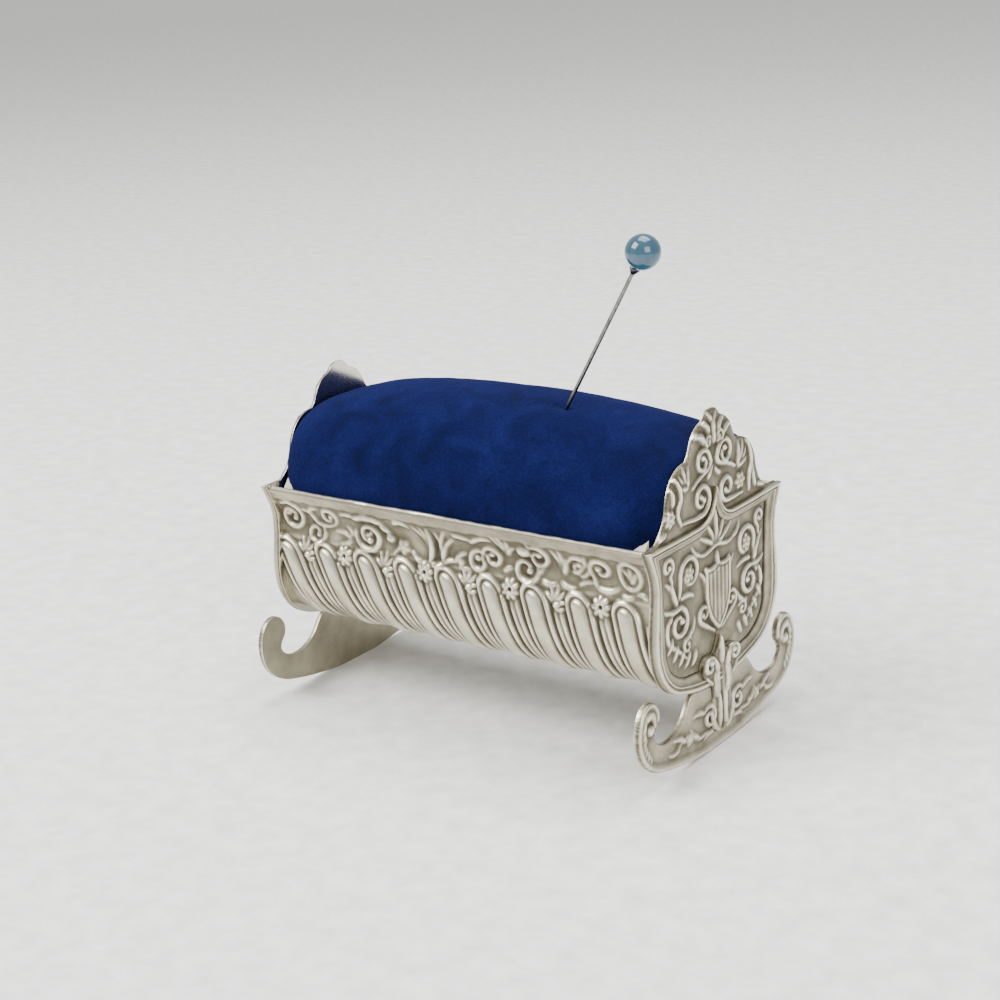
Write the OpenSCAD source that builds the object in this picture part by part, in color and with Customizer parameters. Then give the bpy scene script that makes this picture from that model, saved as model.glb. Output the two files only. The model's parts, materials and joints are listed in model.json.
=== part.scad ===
// Silver cradle pincushion: two cast end plates on rockers, a stamped trough
// between them, a stuffed velvet pad and one ball-headed pin.
// Millimetres. X runs along the cradle, -Y is its front, Z is up from the
// surface that it stands on, and the origin is under its middle.

/* [Ends] */
// Length over the borders of the two ends
cradle_l = 72; // [66:1:84]
// Thickness of an end plate
plate_t = 0.6; // [0.5:0.05:0.9]
// Height of the moulded border on an end plate
border_h = 0.8; // [0.5:0.05:1]
// Width of that border at the sides and the bottom
border_w = 3; // [2.4:0.1:3.6]
// Width of the border along the top of the shield
top_border_w = 2.1; // [1.6:0.1:2.6]
// Width of the shield across its two corners
corner_w = 38.6; // [37:0.2:41]
// Width of the shield at its waist
waist_w = 34.4; // [33:0.2:36]
// Width of the shield at its belly
belly_w = 35.8; // [35:0.2:38]
// Height of the shield's corners
rim_z = 35.8; // [34:0.2:39]
// Height of the bottom of the shield
base_z = 10.2; // [9:0.2:11]
// Height of the cusp in the middle of the shield's top
cusp_z = 40.4; // [39:0.2:42]
// Height of the crown of the pediment
crown_z = 51.9; // [50:0.2:56]
// Width of the pediment where it leaves the shield
pediment_w = 32.8; // [30:0.2:35]
// Width of the pediment at its shoulders
shoulder_w = 25.6; // [23:0.2:28]
// Width of the pediment's upper lobes
lobe_w = 13.6; // [12:0.2:16]
// How far the scrolls and leaves stand above an end plate
carve_h = 0.55; // [0.3:0.05:0.7]

/* [Rockers] */
// Thickness of a rocker
rocker_t = 1; // [0.8:0.05:1.3]
// Width over the curled ends of a rocker
rocker_w = 46.6; // [44:0.2:50]
// Radius of the arc that a rocker rolls on
rock_r = 66; // [55:1:90]
// Width of the worn flat in the middle of that arc
worn_w = 7; // [6:0.2:9]
// Height of the curled ends
curl_z = 14; // [13:0.2:15]
// Width of the raised edge on a rocker's outer face
rocker_rim_w = 0.8; // [0.5:0.1:1.2]
// Thickness of the acanthus stem in front of a rocker and its shield
stem_t = 0.6; // [0.4:0.05:0.9]
// Height of the top of that stem
stem_z = 17.6; // [16.5:0.1:18.5]

/* [Trough] */
// Thickness of the trough's sheet
sheet_t = 0.5; // [0.4:0.05:0.7]
// How far the trough lies inside the outline of the end plates
reveal = 1.1; // [0.9:0.05:1.4]
// Number of gadroons along a side
gadroons = 9; // [7:1:11]
// How far a gadroon swells from the sheet
gadroon_h = 0.8; // [0.4:0.05:0.9]
// Where the gadroons start, along the sheet from the rim
gadroon_s = 9.2; // [8.5:0.1:10.5]
// How far a gadroon leans for each millimetre of its length
gadroon_lean = 0.42; // [0.2:0.02:0.5]
// Radius of the wire along the rim
rim_r = 0.45; // [0.35:0.05:0.55]
// Radius of a flower between two gadroons
flower_r = 1.6; // [1.2:0.1:1.8]

/* [Pad] */
// Thickness of the board under the pad
board_t = 1.6; // [1:0.1:2.4]
// Height of the underside of that board
board_z = 14.4; // [13.5:0.1:16]
// Height of the pad's crest in the middle
crest_z = 50.8; // [47:0.2:51.5]
// Height of the pad's crest at its ends
crest_end_z = 46.4; // [42:0.2:47]
// How much narrower each side of the dome is at the pad's ends
pad_narrow = 3.2; // [2:0.1:4]
// Thickness of the velvet with its backing
velvet_t = 0.8; // [0.5:0.1:1.2]
// Gap between the pad and the metal round it
pad_gap = 0.25; // [0.2:0.05:0.4]

/* [Pin] */
// Diameter of the pin's shank
shank_d = 0.6; // [0.5:0.02:0.8]
// Length of the pin from its point to the underside of its head
pin_l = 38.2; // [34:0.2:42]
// How deep the pin sits in the pad
pin_depth = 12.5; // [8:0.5:16]
// Diameter of the ball head
head_d = 5.2; // [4:0.1:6]
// Lean of the pin from upright
pin_lean = 31.2; // [20:0.2:35]
// Turn of that lean towards the front
pin_turn = -4.7; // [-15:0.1:15]
// Where the pin enters the pad, along the cradle
pin_x = 12.3; // [5:0.1:20]
// Where the pin enters the pad, across the cradle
pin_y = -2.8; // [-6:0.1:6]
// Clearance round the shank in the pad
pin_gap = 0.05; // [0.02:0.01:0.09]

/* [Hidden] */

SILVER = "#c4bea8";
DULL_SILVER = "#8f8973";
NAVY = "#10163a";
WADDING = "#d8cfb8";
BOARD = "#8a6b45";
STEEL = "#8d8f92";
TEAL = "#30566a";

front_x = cradle_l / 2;                // front of the border
plate_x = front_x - border_h;          // front of the end plate
inner_x = plate_x - plate_t;           // polished inner face of the end plate
corner_y = corner_w / 2;
waist_y = waist_w / 2;
belly_y = belly_w / 2;
waist_z = rim_z - 6.3;
belly_z = rim_z - 14.2;
turn_y = belly_y - 5.3;                // where the side has turned into the bottom
turn_z = base_z + 2.3;

// Curves

// Points of a cubic curve, without its last point
function curve(p, n) = [for (i = [0:n - 1]) let (t = i / n, u = 1 - t)
    u*u*u*p[0] + 3*u*u*t*p[1] + 3*u*t*t*p[2] + t*t*t*p[3]];

// Both sides of an outline from its right half, which starts and ends on the middle line
function both_sides(half) = concat(half,
    [for (i = [len(half) - 2:-1:1]) [-half[i][0], half[i][1]]]);

function unit(v) = v / max(norm(v), 1e-9);

// Direction to the left of the way that an open line runs at point i
function left_of(line, i) = let (
    a = line[max(i - 1, 0)],
    b = line[min(i + 1, len(line) - 1)],
    d = unit(b - a)) [-d[1], d[0]];

// An open line moved to its left
function moved(line, d) = [for (i = [0:len(line) - 1]) line[i] + d * left_of(line, i)];

// Length along a line up to each of its points
function lengths(line, i = 0, sum = 0, out = []) = i == len(line) ? out :
    let (step = i == 0 ? 0 : norm(line[i] - line[i - 1]))
    lengths(line, i + 1, sum + step, concat(out, [sum + step]));

// Lies a flat shape in the Y and Z plane, with its thickness along +X
module stand() { rotate([90, 0, 90]) children(); }

// The same shape on the other end
module other_end() { mirror([1, 0, 0]) children(); }

// Shield and pediment

// Right side of the shield, from its corner down to the middle of its bottom
function shield_side(n) = concat(
    curve([[corner_y, rim_z], [corner_y - 1, rim_z - 2.2],
           [waist_y, waist_z + 2.4], [waist_y, waist_z]], n),
    curve([[waist_y, waist_z], [waist_y, waist_z - 2.8],
           [belly_y, belly_z + 2.8], [belly_y, belly_z]], n),
    curve([[belly_y, belly_z], [belly_y, belly_z - 4.6],
           [turn_y + 2.7, turn_z + 1.1], [turn_y, turn_z]], n),
    curve([[turn_y, turn_z], [turn_y * 0.7, turn_z - 1.5],
           [turn_y * 0.35, base_z], [0, base_z]], n),
    [[0, base_z]]);

// Top of the shield from its cusp out to its corner
function shield_top(n) = concat(
    curve([[0, cusp_z], [0.9, cusp_z - 2.4], [1.4, rim_z + 0.2], [4.6, rim_z - 0.1]], n),
    curve([[4.6, rim_z - 0.1], [corner_y * 0.5, rim_z - 0.2],
           [corner_y * 0.75, rim_z], [corner_y, rim_z]], n));

// Right side of the sunk field inside the border, in the same order
function field_side(n) = let (y = belly_y - border_w, z = rim_z - top_border_w) concat(
    curve([[y + 0.4, z], [y + 0.1, z - 2], [y - 0.1, waist_z + 1], [y - 0.1, waist_z]], n),
    curve([[y - 0.1, waist_z], [y - 0.2, waist_z - 3],
           [y - 0.5, belly_z], [y - 0.7, belly_z - 3]], n),
    curve([[y - 0.7, belly_z - 3], [y - 1.1, belly_z - 5],
           [turn_y, turn_z + border_w - 0.4], [turn_y - 3.4, turn_z + border_w - 1.6]], n),
    curve([[turn_y - 3.4, turn_z + border_w - 1.6], [turn_y * 0.45, turn_z + border_w - 2],
           [turn_y * 0.2, base_z + border_w - 0.2], [0, base_z + border_w - 0.2]], n),
    [[0, base_z + border_w - 0.2]]);

function field_top(n) = let (y = belly_y - border_w + 0.4, z = rim_z - top_border_w) concat(
    curve([[0, cusp_z - 1.5], [0.3, cusp_z - 3.4], [0.8, z + 0.3], [5.2, z]], n),
    curve([[5.2, z], [y * 0.6, z - 0.1], [y * 0.8, z], [y, z]], n));

// Pediment from its crown down to the top of the shield
lobe_y = lobe_w / 2;
shoulder_y = shoulder_w / 2;
shoulder_z = rim_z + (crown_z - rim_z) * 0.62;
lobe_z = crown_z - 1.8;
function pediment_side(n) = concat(
    curve([[0, crown_z], [2, crown_z + 0.2], [1.7, lobe_z + 0.9], [2.7, lobe_z + 0.4]], n),
    curve([[2.7, lobe_z + 0.4], [lobe_y - 0.9, lobe_z - 0.4],
           [lobe_y - 0.9, shoulder_z + 1], [lobe_y, shoulder_z + 0.4]], n),
    curve([[lobe_y + 0.4, shoulder_z], [shoulder_y - 2.4, shoulder_z],
           [shoulder_y - 0.4, shoulder_z - 2.4], [shoulder_y, rim_z + 5]], n),
    curve([[shoulder_y, rim_z + 5], [shoulder_y + 0.5, rim_z + 2.4],
           [pediment_w / 2 - 1.8, rim_z + 1], [pediment_w / 2, rim_z]], n));

// Flat outline of an end plate
function plate_outline() = both_sides(concat(pediment_side(5), shield_side(6)));

// Ornament

// A tapering ribbon wound in a spiral: out to in, with a start angle and a sweep
function scroll(r_out, r_in, start, sweep, w_out, w_in, n = 14) = let (
    at = [for (i = [0:n]) let (t = i / n) [r_out + (r_in - r_out) * t, start + sweep * t,
                                           (w_out + (w_in - w_out) * t) / 2]],
    outer = [for (p = at) (p[0] + p[2]) * [cos(p[1]), sin(p[1])]],
    inner = [for (i = [n:-1:0]) (at[i][0] - at[i][2]) * [cos(at[i][1]), sin(at[i][1])]])
    concat(outer, inner);

// A pointed leaf from the origin along +X
function leaf(l, w) = concat(
    curve([[0, 0], [l * 0.2, w], [l * 0.6, w * 0.8], [l, 0]], 5),
    curve([[l, 0], [l * 0.6, -w * 0.8], [l * 0.2, -w], [0, 0]], 5));

// A flower with rounded petals
function petals(r, count) = [for (i = [0:count * 3 - 1]) let (a = 360 * i / (count * 3))
    r * (0.82 + 0.18 * cos(count * a)) * [cos(a), sin(a)]];

module raised(outline, h) { linear_extrude(h) polygon(outline); }

// One scroll with a round boss for its eye
module eyed_scroll(at, r, start, sweep, h) {
    translate(at) {
        raised(scroll(r, r * 0.42, start, sweep, r * 0.36, r * 0.2), h);
        cylinder(r = r * 0.26, h = h, $fn = 24);
    }
}

// Scrolls, leaves and flowers of one half of an end plate
module half_ornament() {
    scroll_z = waist_z;
    eyed_scroll([8.6, scroll_z, 0], 2.7, -120, 400, carve_h);
    eyed_scroll([9.6, scroll_z - 6.6, 0], 2.7, 130, -400, carve_h);
    translate([12.2, rim_z - 3.2]) rotate(-130) raised(leaf(3.4, 1), carve_h);
    translate([13.6, scroll_z - 3.6]) rotate(165) raised(leaf(4.4, 0.9), carve_h);
    translate([5.4, belly_z - 4.4]) rotate(-10) raised(leaf(5.4, 1), carve_h);
    translate([0.6, rim_z - 4.2]) rotate(50) raised(leaf(3, 0.9), carve_h);
    eyed_scroll([4.2, rim_z + 3.4, 0], 2.3, 200, -380, carve_h);
    eyed_scroll([3.4, shoulder_z - 1.2, 0], 1.9, -60, 360, carve_h);
    translate([shoulder_y - 2.6, rim_z + 3.4]) raised(petals(1.9, 6), carve_h);
    translate([shoulder_y - 1.4, rim_z + 6.2]) rotate(125) raised(leaf(4.2, 1), carve_h);
    translate([0.5, lobe_z - 1.6]) rotate(55) raised(leaf(3, 1), carve_h);
}

// Blank escutcheon in the middle of the shield
module escutcheon() {
    top = waist_z - 1.6;
    foot = stem_z + 0.4;
    outline = both_sides(concat(
        curve([[0, top], [2, top + 0.6], [3.2, top - 0.8], [4, top]], 4),
        curve([[4, top], [3.4, top - 3], [5, foot + 3.4], [0, foot]], 6), [[0, foot]]));
    raised(outline, carve_h * 0.7);
    translate([0, (top + foot) / 2]) scale([0.7, 1]) cylinder(r = 3, h = carve_h, $fn = 40);
}

module end_plate() {
    color(SILVER) translate([inner_x, 0, 0]) stand() {
        raised(plate_outline(), plate_t);
        translate([0, 0, plate_t]) {
            escutcheon();
            half_ornament();
            mirror([1, 0, 0]) half_ornament();
        }
    }
}

// The border's section: share of the way in, and share of its height
border_section = [[0, 0], [0, 0.78], [0.07, 1], [0.2, 1], [0.26, 0.74], [0.33, 0.72],
                  [0.38, 0.92], [0.45, 0.72], [1, 0.16], [1, 0]];

module end_border() {
    outer = both_sides(concat(shield_top(5), shield_side(6)));
    inner = both_sides(concat(field_top(5), field_side(6)));
    count = len(outer);
    rings = len(border_section);
    points = [for (i = [0:count - 1]) for (q = border_section)
        let (p = outer[i] + q[0] * (inner[i] - outer[i])) [p[0], p[1], q[1] * border_h]];
    faces = [for (i = [0:count - 1]) for (j = [0:rings - 1]) let (
        a = i * rings + j,
        b = i * rings + (j + 1) % rings,
        c = ((i + 1) % count) * rings + (j + 1) % rings,
        d = ((i + 1) % count) * rings + j) each [[a, c, b], [a, d, c]]];
    color(SILVER) translate([plate_x, 0, 0]) stand() polyhedron(points, faces, convexity = 10);
}

// Rockers

curl_y = rocker_w / 2;
neck_y = turn_y * 0.68;                // where a rocker's top meets the shield
arc_y = curl_y * 0.74;                 // where the rolling arc ends
worn_sag = rock_r - sqrt(rock_r * rock_r - worn_w * worn_w / 4);
function arc_z(y) = rock_r - sqrt(rock_r * rock_r - y * y) - worn_sag;
arc_slope = arc_y / sqrt(rock_r * rock_r - arc_y * arc_y);

// Part of the shield's bottom that a rocker's neck is soldered to, from the middle outwards
function neck_line() = let (side = shield_side(6))
    [for (i = [len(side) - 1:-1:0]) if (side[i][0] <= neck_y) side[i]];

function rocker_side() = let (neck = neck_line(), last = neck[len(neck) - 1]) concat(
    [[0, 0], [worn_w / 2, 0]],
    [for (i = [1:5]) let (y = worn_w / 2 + (arc_y - worn_w / 2) * i / 6) [y, arc_z(y)]],
    curve([[arc_y, arc_z(arc_y)], [arc_y + 2.6, arc_z(arc_y) + 2.6 * arc_slope],
           [curl_y, 5], [curl_y, 9.4]], 7),
    curve([[curl_y, 9.4], [curl_y, curl_z - 2], [curl_y - 1.4, curl_z],
           [curl_y - 3.3, curl_z]], 5),
    curve([[curl_y - 3.3, curl_z], [curl_y - 5, curl_z], [curl_y - 6.4, curl_z - 2.2],
           [curl_y - 5.5, curl_z - 3.8]], 5),
    curve([[curl_y - 5.5, curl_z - 3.8], [curl_y - 4.8, curl_z - 4.6],
           [curl_y - 4.2, curl_z - 5.2], [curl_y - 4.6, curl_z - 6.2]], 4),
    curve([[curl_y - 4.6, curl_z - 6.2], [curl_y - 6.2, 5.6], [curl_y - 10, 5.6],
           [curl_y - 12.6, 8]], 6),
    curve([[curl_y - 12.6, 8], [curl_y - 13.6, 9], [last[0] + 1.2, last[1] - 0.5], last], 3),
    [for (i = [len(neck) - 1:-1:0]) neck[i]]);

// Raised edge along the rolling arc and up the outer side of each curl
module rocker_edge(h) {
    run = [for (p = rocker_side()) if (p[0] > curl_y - 2 && p[1] < curl_z - 3
        || p[1] < arc_z(arc_y) + 0.01) p];
    line = concat([for (i = [len(run) - 1:-1:1]) [-run[i][0], run[i][1]]], run);
    inside = moved(line, rocker_rim_w);
    raised(concat(line, [for (i = [len(line) - 1:-1:0]) inside[i]]), h);
}

// Acanthus stem in front of the rocker's neck, lapping over the shield's border
stem_foot_z = 1.8;
stem_outline = both_sides(concat(
    curve([[0, stem_z], [1, stem_z - 2], [1.4, stem_z - 3], [2.4, stem_z - 2.6]], 3),
    curve([[2.4, stem_z - 2.6], [5.2, stem_z - 1.8], [6.4, stem_z - 4.6],
           [4.4, stem_z - 6]], 5),
    curve([[4.4, stem_z - 6], [2.6, stem_z - 7.4], [2, stem_z - 9],
           [3.4, stem_z - 12]], 5),
    curve([[3.4, stem_z - 12], [4, stem_z - 14], [2, stem_foot_z + 0.6],
           [0, stem_foot_z]], 5),
    [[0, stem_foot_z]]));

// Part of a flat shape between two heights
module band(low, high) {
    intersection() {
        children();
        translate([-curl_y, low]) square([2 * curl_y, high - low]);
    }
}

module rocker() {
    web_t = rocker_t * 0.8;
    face_h = rocker_t - web_t;
    field_z = base_z + border_w + 0.5;
    color(SILVER) stand() {
        translate([0, 0, front_x - rocker_t]) {
            raised(both_sides(rocker_side()), web_t);
            translate([0, 0, web_t]) {
                rocker_edge(face_h);
                for (side = [0, 1]) mirror([side, 0, 0]) {
                    eyed_scroll([6.2, 5, 0], 1.9, 180, 400, face_h);
                    translate([8.6, 3.9]) rotate(-6) raised(leaf(6, 0.9), face_h);
                    eyed_scroll([curl_y - 3.2, curl_z - 3.2, 0], 1.9, -70, 330, face_h);
                }
                linear_extrude(face_h) band(stem_foot_z, base_z - 0.4) polygon(stem_outline);
            }
        }
        translate([0, 0, plate_x])
            linear_extrude(border_h) band(field_z, stem_z) polygon(stem_outline);
        translate([0, 0, front_x]) raised(stem_outline, stem_t);
    }
}

// Trough

panel_x = inner_x;                     // the panels end at the inner faces of the plates
pitch = 2 * panel_x / gadroons;
columns = gadroons * 8;

// Outer line of the plain sheet, from the rim to the seam, as distance out and height.
// At the rim it flares out to the corners of the end plates.
rim_reveal = 0.3;
rim_flat = 0.2;                        // from the rim wire's middle down to its flat underside
sheet_top = rim_z - rim_r - rim_flat;
function at_height(a, b, z) = a[0] + (b[0] - a[0]) * (a[1] - z) / (a[1] - b[1]);
panel_line = let (side = shield_side(6), last = len(side) - 1)
    [for (i = [0:last]) let (
        d = rim_reveal + (reveal - rim_reveal) * min(1, i / 6),
        p = side[i] - d * left_of(side, i))
        i == 0 ? [at_height(side[0], side[1], sheet_top) - rim_reveal, sheet_top]
        : i == last ? [0, base_z + reveal] : p];
panel_s = lengths(panel_line);

// Inner line of the sheet moved inwards by a gap
function inside_line(gap) = let (line = moved(panel_line, -sheet_t - gap), last = len(line) - 1)
    [for (j = [0:last]) j == 0 ? [at_height(line[0], line[1], sheet_top), sheet_top]
        : j == last ? [0, panel_line[j][1] + sheet_t + gap] : line[j]];

// Height of a gadroon at a place across its pitch and along the sheet
function gadroon(v, s) = let (
    r = pitch * 0.36,
    d = norm([v * pitch, min(0, s - gadroon_s - r)]),
    fade = min(1, max(0, (panel_s[len(panel_s) - 1] - s) / 7)))
    gadroon_h * fade * sqrt(max(0, 1 - d * d / (r * r)));

// Lean of the pattern, which eases off under the trough and dies away at its two ends
lean_l = 9;
function lean(x, s) = gadroon_lean * lean_l * (1 - exp(-max(0, s - gadroon_s) / lean_l))
    * min(1, (panel_x - abs(x)) / lean_l);

// Place on the front panel at a length along the sheet
function on_panel(s) = let (j = max([for (k = [0:len(panel_s) - 2]) if (panel_s[k] <= s) k]),
    t = (s - panel_s[j]) / (panel_s[j + 1] - panel_s[j]))
    panel_line[j] + t * (panel_line[j + 1] - panel_line[j]);

module panel_sheet() {
    rows = len(panel_line);
    in_line = inside_line(0);
    outer_points = [for (i = [0:columns]) for (j = [0:rows - 1]) let (
        x = -panel_x + 2 * panel_x * i / columns,
        v = (i / 8) % 1 - 0.5,
        h = i == 0 || i == columns ? 0 : gadroon(v, panel_s[j]),
        n = j == rows - 1 ? [0, -1] : left_of(panel_line, j),
        p = panel_line[j] + h * n) [x + lean(x, panel_s[j]), -p[0], p[1]]];
    inner_points = [for (x = [-panel_x, panel_x]) for (p = in_line) [x, -p[0], p[1]]];
    base = len(outer_points);
    function out(i, j) = i * rows + j;
    function in(e, j) = base + e * rows + j;
    skin = [for (i = [0:columns - 1]) for (j = [0:rows - 2])
        each [[out(i, j), out(i + 1, j + 1), out(i, j + 1)],
              [out(i, j), out(i + 1, j), out(i + 1, j + 1)]]];
    lining = [for (j = [0:rows - 2]) [in(0, j), in(0, j + 1), in(1, j + 1), in(1, j)]];
    ends = [for (j = [0:rows - 2]) each [
        [out(0, j), out(0, j + 1), in(0, j + 1), in(0, j)],
        [out(columns, j), in(1, j), in(1, j + 1), out(columns, j + 1)]]];
    rim = concat([in(0, 0), in(1, 0)], [for (i = [columns:-1:0]) out(i, 0)]);
    seam = concat([in(1, rows - 1), in(0, rows - 1)],
                  [for (i = [0:columns]) out(i, rows - 1)]);
    polyhedron(concat(outer_points, inner_points),
               concat(skin, lining, ends, [rim, seam]), convexity = 10);
}

// Flowers between the gadroons, buds and daisies in turn
module flowers() {
    spot = on_panel(gadroon_s + 1.4);
    for (i = [1:gadroons - 1])
        translate([-panel_x + i * pitch, -spot[0] + sheet_t * 0.6, spot[1]])
            rotate([90, 0, 0]) {
                raised(petals(flower_r, i % 2 == 0 ? 8 : 5), gadroon_h);
                cylinder(r = flower_r * 0.3, h = gadroon_h * 1.2, $fn = 20);
            }
}

module panel() {
    color(DULL_SILVER) {
        panel_sheet();
        flowers();
    }
}

module rim_wire() {
    y = -panel_line[0][0] + sheet_t / 2;
    color(SILVER) translate([-panel_x, y, sheet_top + rim_flat]) stand()
        linear_extrude(2 * panel_x) intersection() {
            circle(r = rim_r, $fn = 24);
            translate([-rim_r, -rim_flat]) square(2 * rim_r);
        }
}

// Pad

pad_x = inner_x - pad_gap;
floor_z = board_z + board_t;
board_gap = 0.1;                       // between the board's sides and the velvet
hem_t = 0.6;
hem_w = 3;

function crest(x) = crest_end_z + (crest_z - crest_end_z) * (1 - pow(abs(x) / inner_x, 2.85));

// Share of the way from the middle of the pad to its end, sharpened by a power
function near_end(x, power) = pow(min(1, abs(x) / pad_x), power);

// Half width of the dome, and its power: below 1 it is fuller than a plain ellipse
function dome_y(x, mouth_y) = mouth_y - pad_narrow * near_end(x, 10);
function fullness(x) = 0.91 - 0.2 * near_end(x, 6);

// Half of the pad's section at x, from the crest out and down to the floor
function pad_half(x, inset, low) = let (
    line = inside_line(pad_gap + inset),
    wall = [for (j = [0:2:len(line) - 1]) if (line[j][1] > low + 0.4) line[j]],
    below = max([for (j = [0:len(line) - 2]) if (line[j][1] > low) j]),
    foot_y = at_height(line[below], line[below + 1], low),
    mouth = wall[0],
    rise = crest(x) - inset - mouth[1]) concat(
    [for (a = [0:13:78]) [dome_y(x, mouth[0]) * pow(sin(a), fullness(x)),
                          mouth[1] + rise * pow(cos(a), fullness(x))]],
    wall,
    [[foot_y - 0.1, low]]);

module pad_form(inset, low) {
    half = pad_x - inset;
    stations = [for (t = [-1, -0.97, -0.9, -0.76, -0.54, -0.28, 0,
                          0.28, 0.54, 0.76, 0.9, 0.97, 1]) half * t];
    loops = [for (x = stations) let (h = pad_half(x, inset, low))
        [for (p = concat(h, [for (i = [len(h) - 1:-1:1]) [-h[i][0], h[i][1]]])) [x, p[0], p[1]]]];
    count = len(loops[0]);
    last = len(stations) - 1;
    skin = [for (i = [0:last - 1]) for (j = [0:count - 1]) let (k = (j + 1) % count)
        each [[i * count + j, i * count + k, (i + 1) * count + k],
              [i * count + j, (i + 1) * count + k, (i + 1) * count + j]]];
    ends = [[for (j = [count - 1:-1:0]) j], [for (j = [0:count - 1]) last * count + j]];
    polyhedron([for (l = loops) each l], concat(skin, ends), convexity = 4);
}

// Height of the pad over a place on its plan
function pad_top(x, y) = let (mouth = inside_line(pad_gap)[0])
    mouth[1] + (crest(x) - mouth[1])
    * pow(cos(asin(pow(abs(y) / dome_y(x, mouth[0]), 1 / fullness(x)))), fullness(x));

module base_board() {
    hollow = pad_half(0, velvet_t, board_z);
    w = 2 * (hollow[len(hollow) - 1][0] - board_gap);
    l = 2 * (pad_x - velvet_t);
    color(BOARD) translate([-l / 2, -w / 2, board_z]) cube([l, w, board_t]);
}

module stuffing_core() {
    color(WADDING) difference() {
        pad_form(velvet_t, floor_z);
        pin_hole();
    }
}

module velvet_cover() {
    color(NAVY) difference() {
        pad_form(0, board_z - hem_t);
        pad_form(velvet_t, board_z);
        translate([0, 0, board_z - hem_t])
            cube([2 * (pad_x - hem_w), 2 * (turn_y - hem_w - 1), 4 * hem_t], center = true);
        pin_hole();
    }
}

// Pin, built upright with its entry into the velvet at the origin

module along_pin() {
    translate([pin_x, pin_y, pad_top(pin_x, pin_y)]) rotate([0, 0, pin_turn])
        rotate([0, pin_lean, 0]) children();
}

point_l = 3;
seat_l = 2;                            // how far the shank runs into the head
collar_l = 1.1;
joint_gap = 0.01;
head_z = pin_l - pin_depth + head_d / 2;

module pin_hole() {
    along_pin() translate([0, 0, -pin_depth - 0.3])
        cylinder(d = shank_d + 2 * pin_gap, h = pin_depth + 4, $fn = 24);
}

module pin_shank() {
    color(STEEL) along_pin() {
        translate([0, 0, -pin_depth])
            cylinder(d1 = 0.08, d2 = shank_d, h = point_l, $fn = 24);
        translate([0, 0, point_l - pin_depth])
            cylinder(d = shank_d, h = pin_l - point_l + seat_l, $fn = 24);
    }
}

module pin_head() {
    color(TEAL) along_pin() difference() {
        translate([0, 0, head_z]) sphere(d = head_d, $fn = 48);
        translate([0, 0, head_z - head_d])
            cylinder(d = shank_d + 2 * joint_gap, h = head_d / 2 + seat_l, $fn = 24);
    }
}

module pin_collar() {
    color("#1c2226") along_pin() difference() {
        translate([0, 0, pin_l - pin_depth - collar_l])
            cylinder(d1 = shank_d * 1.5, d2 = shank_d * 2.6, h = collar_l + 0.15, $fn = 32);
        translate([0, 0, pin_l - pin_depth - 2 * collar_l])
            cylinder(d = shank_d + 2 * joint_gap, h = 4 * collar_l, $fn = 24);
        translate([0, 0, head_z]) sphere(d = head_d + joint_gap, $fn = 48);
    }
}

panel();  // front_panel
rotate(180) panel();  // back_panel
rim_wire();  // front_rim_wire
rotate(180) rim_wire();  // back_rim_wire
end_plate();  // right_end_plate
other_end() end_plate();  // left_end_plate
end_border();  // right_end_border
other_end() end_border();  // left_end_border
rocker();  // right_rocker
other_end() rocker();  // left_rocker
base_board();
stuffing_core();
velvet_cover();
pin_shank();
pin_collar();
pin_head();
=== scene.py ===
"""Silver cradle pincushion: stamped trough, cast ends on rockers, velvet pad and a ball-headed pin.

Outlines and ornament are worked out in millimetres and turned into metres when a mesh is made.
"""

import json
import math

import bpy
import numpy as np
from bpy.props import FloatProperty, IntProperty, PointerProperty, StringProperty
from mathutils import Matrix, Vector, noise


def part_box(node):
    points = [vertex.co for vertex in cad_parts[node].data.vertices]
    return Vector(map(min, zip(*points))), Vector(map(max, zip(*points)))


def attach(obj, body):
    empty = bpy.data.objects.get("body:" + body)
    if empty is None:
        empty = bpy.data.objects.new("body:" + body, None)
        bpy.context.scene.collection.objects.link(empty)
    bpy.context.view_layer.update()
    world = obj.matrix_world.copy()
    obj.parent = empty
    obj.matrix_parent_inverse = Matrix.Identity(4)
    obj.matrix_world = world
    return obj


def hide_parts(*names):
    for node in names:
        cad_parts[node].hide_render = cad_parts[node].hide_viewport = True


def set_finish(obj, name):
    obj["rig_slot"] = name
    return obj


bl_info = {
    "name": "Cradle pincushion",
    "version": (1, 0, 0),
    "blender": (4, 5, 0),
    "location": "View3D > Sidebar > Pincushion",
    "description": "Antique silver cradle with a velvet pad and a ball-headed pin",
    "category": "Add Mesh",
}

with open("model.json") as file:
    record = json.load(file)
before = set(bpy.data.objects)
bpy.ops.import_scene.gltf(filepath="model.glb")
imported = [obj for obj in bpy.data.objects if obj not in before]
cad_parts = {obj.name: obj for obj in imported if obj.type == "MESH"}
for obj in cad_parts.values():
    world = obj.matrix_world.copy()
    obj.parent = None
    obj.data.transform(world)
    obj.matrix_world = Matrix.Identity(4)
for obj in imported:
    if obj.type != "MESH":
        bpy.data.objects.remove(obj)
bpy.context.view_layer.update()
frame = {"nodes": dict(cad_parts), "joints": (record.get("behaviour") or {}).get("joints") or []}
MM = 0.001
FRAME_PIXELS = 1000


def span(node, axis):
    """Lowest and highest place of a CAD node along an axis, in millimetres"""
    low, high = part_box(node)
    return low["xyz".index(axis)] / MM, high["xyz".index(axis)] / MM


# Sizes and colours

def length(name, text, default):
    """A length that a user may change, given in millimetres and kept in metres"""
    return FloatProperty(name=name, description=text, default=default * MM, unit="LENGTH", precision=5)


def tint(name, text, default):
    """A colour that a user may change, as an sRGB hex value"""
    return StringProperty(name=name, description=text, default=default)


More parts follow.
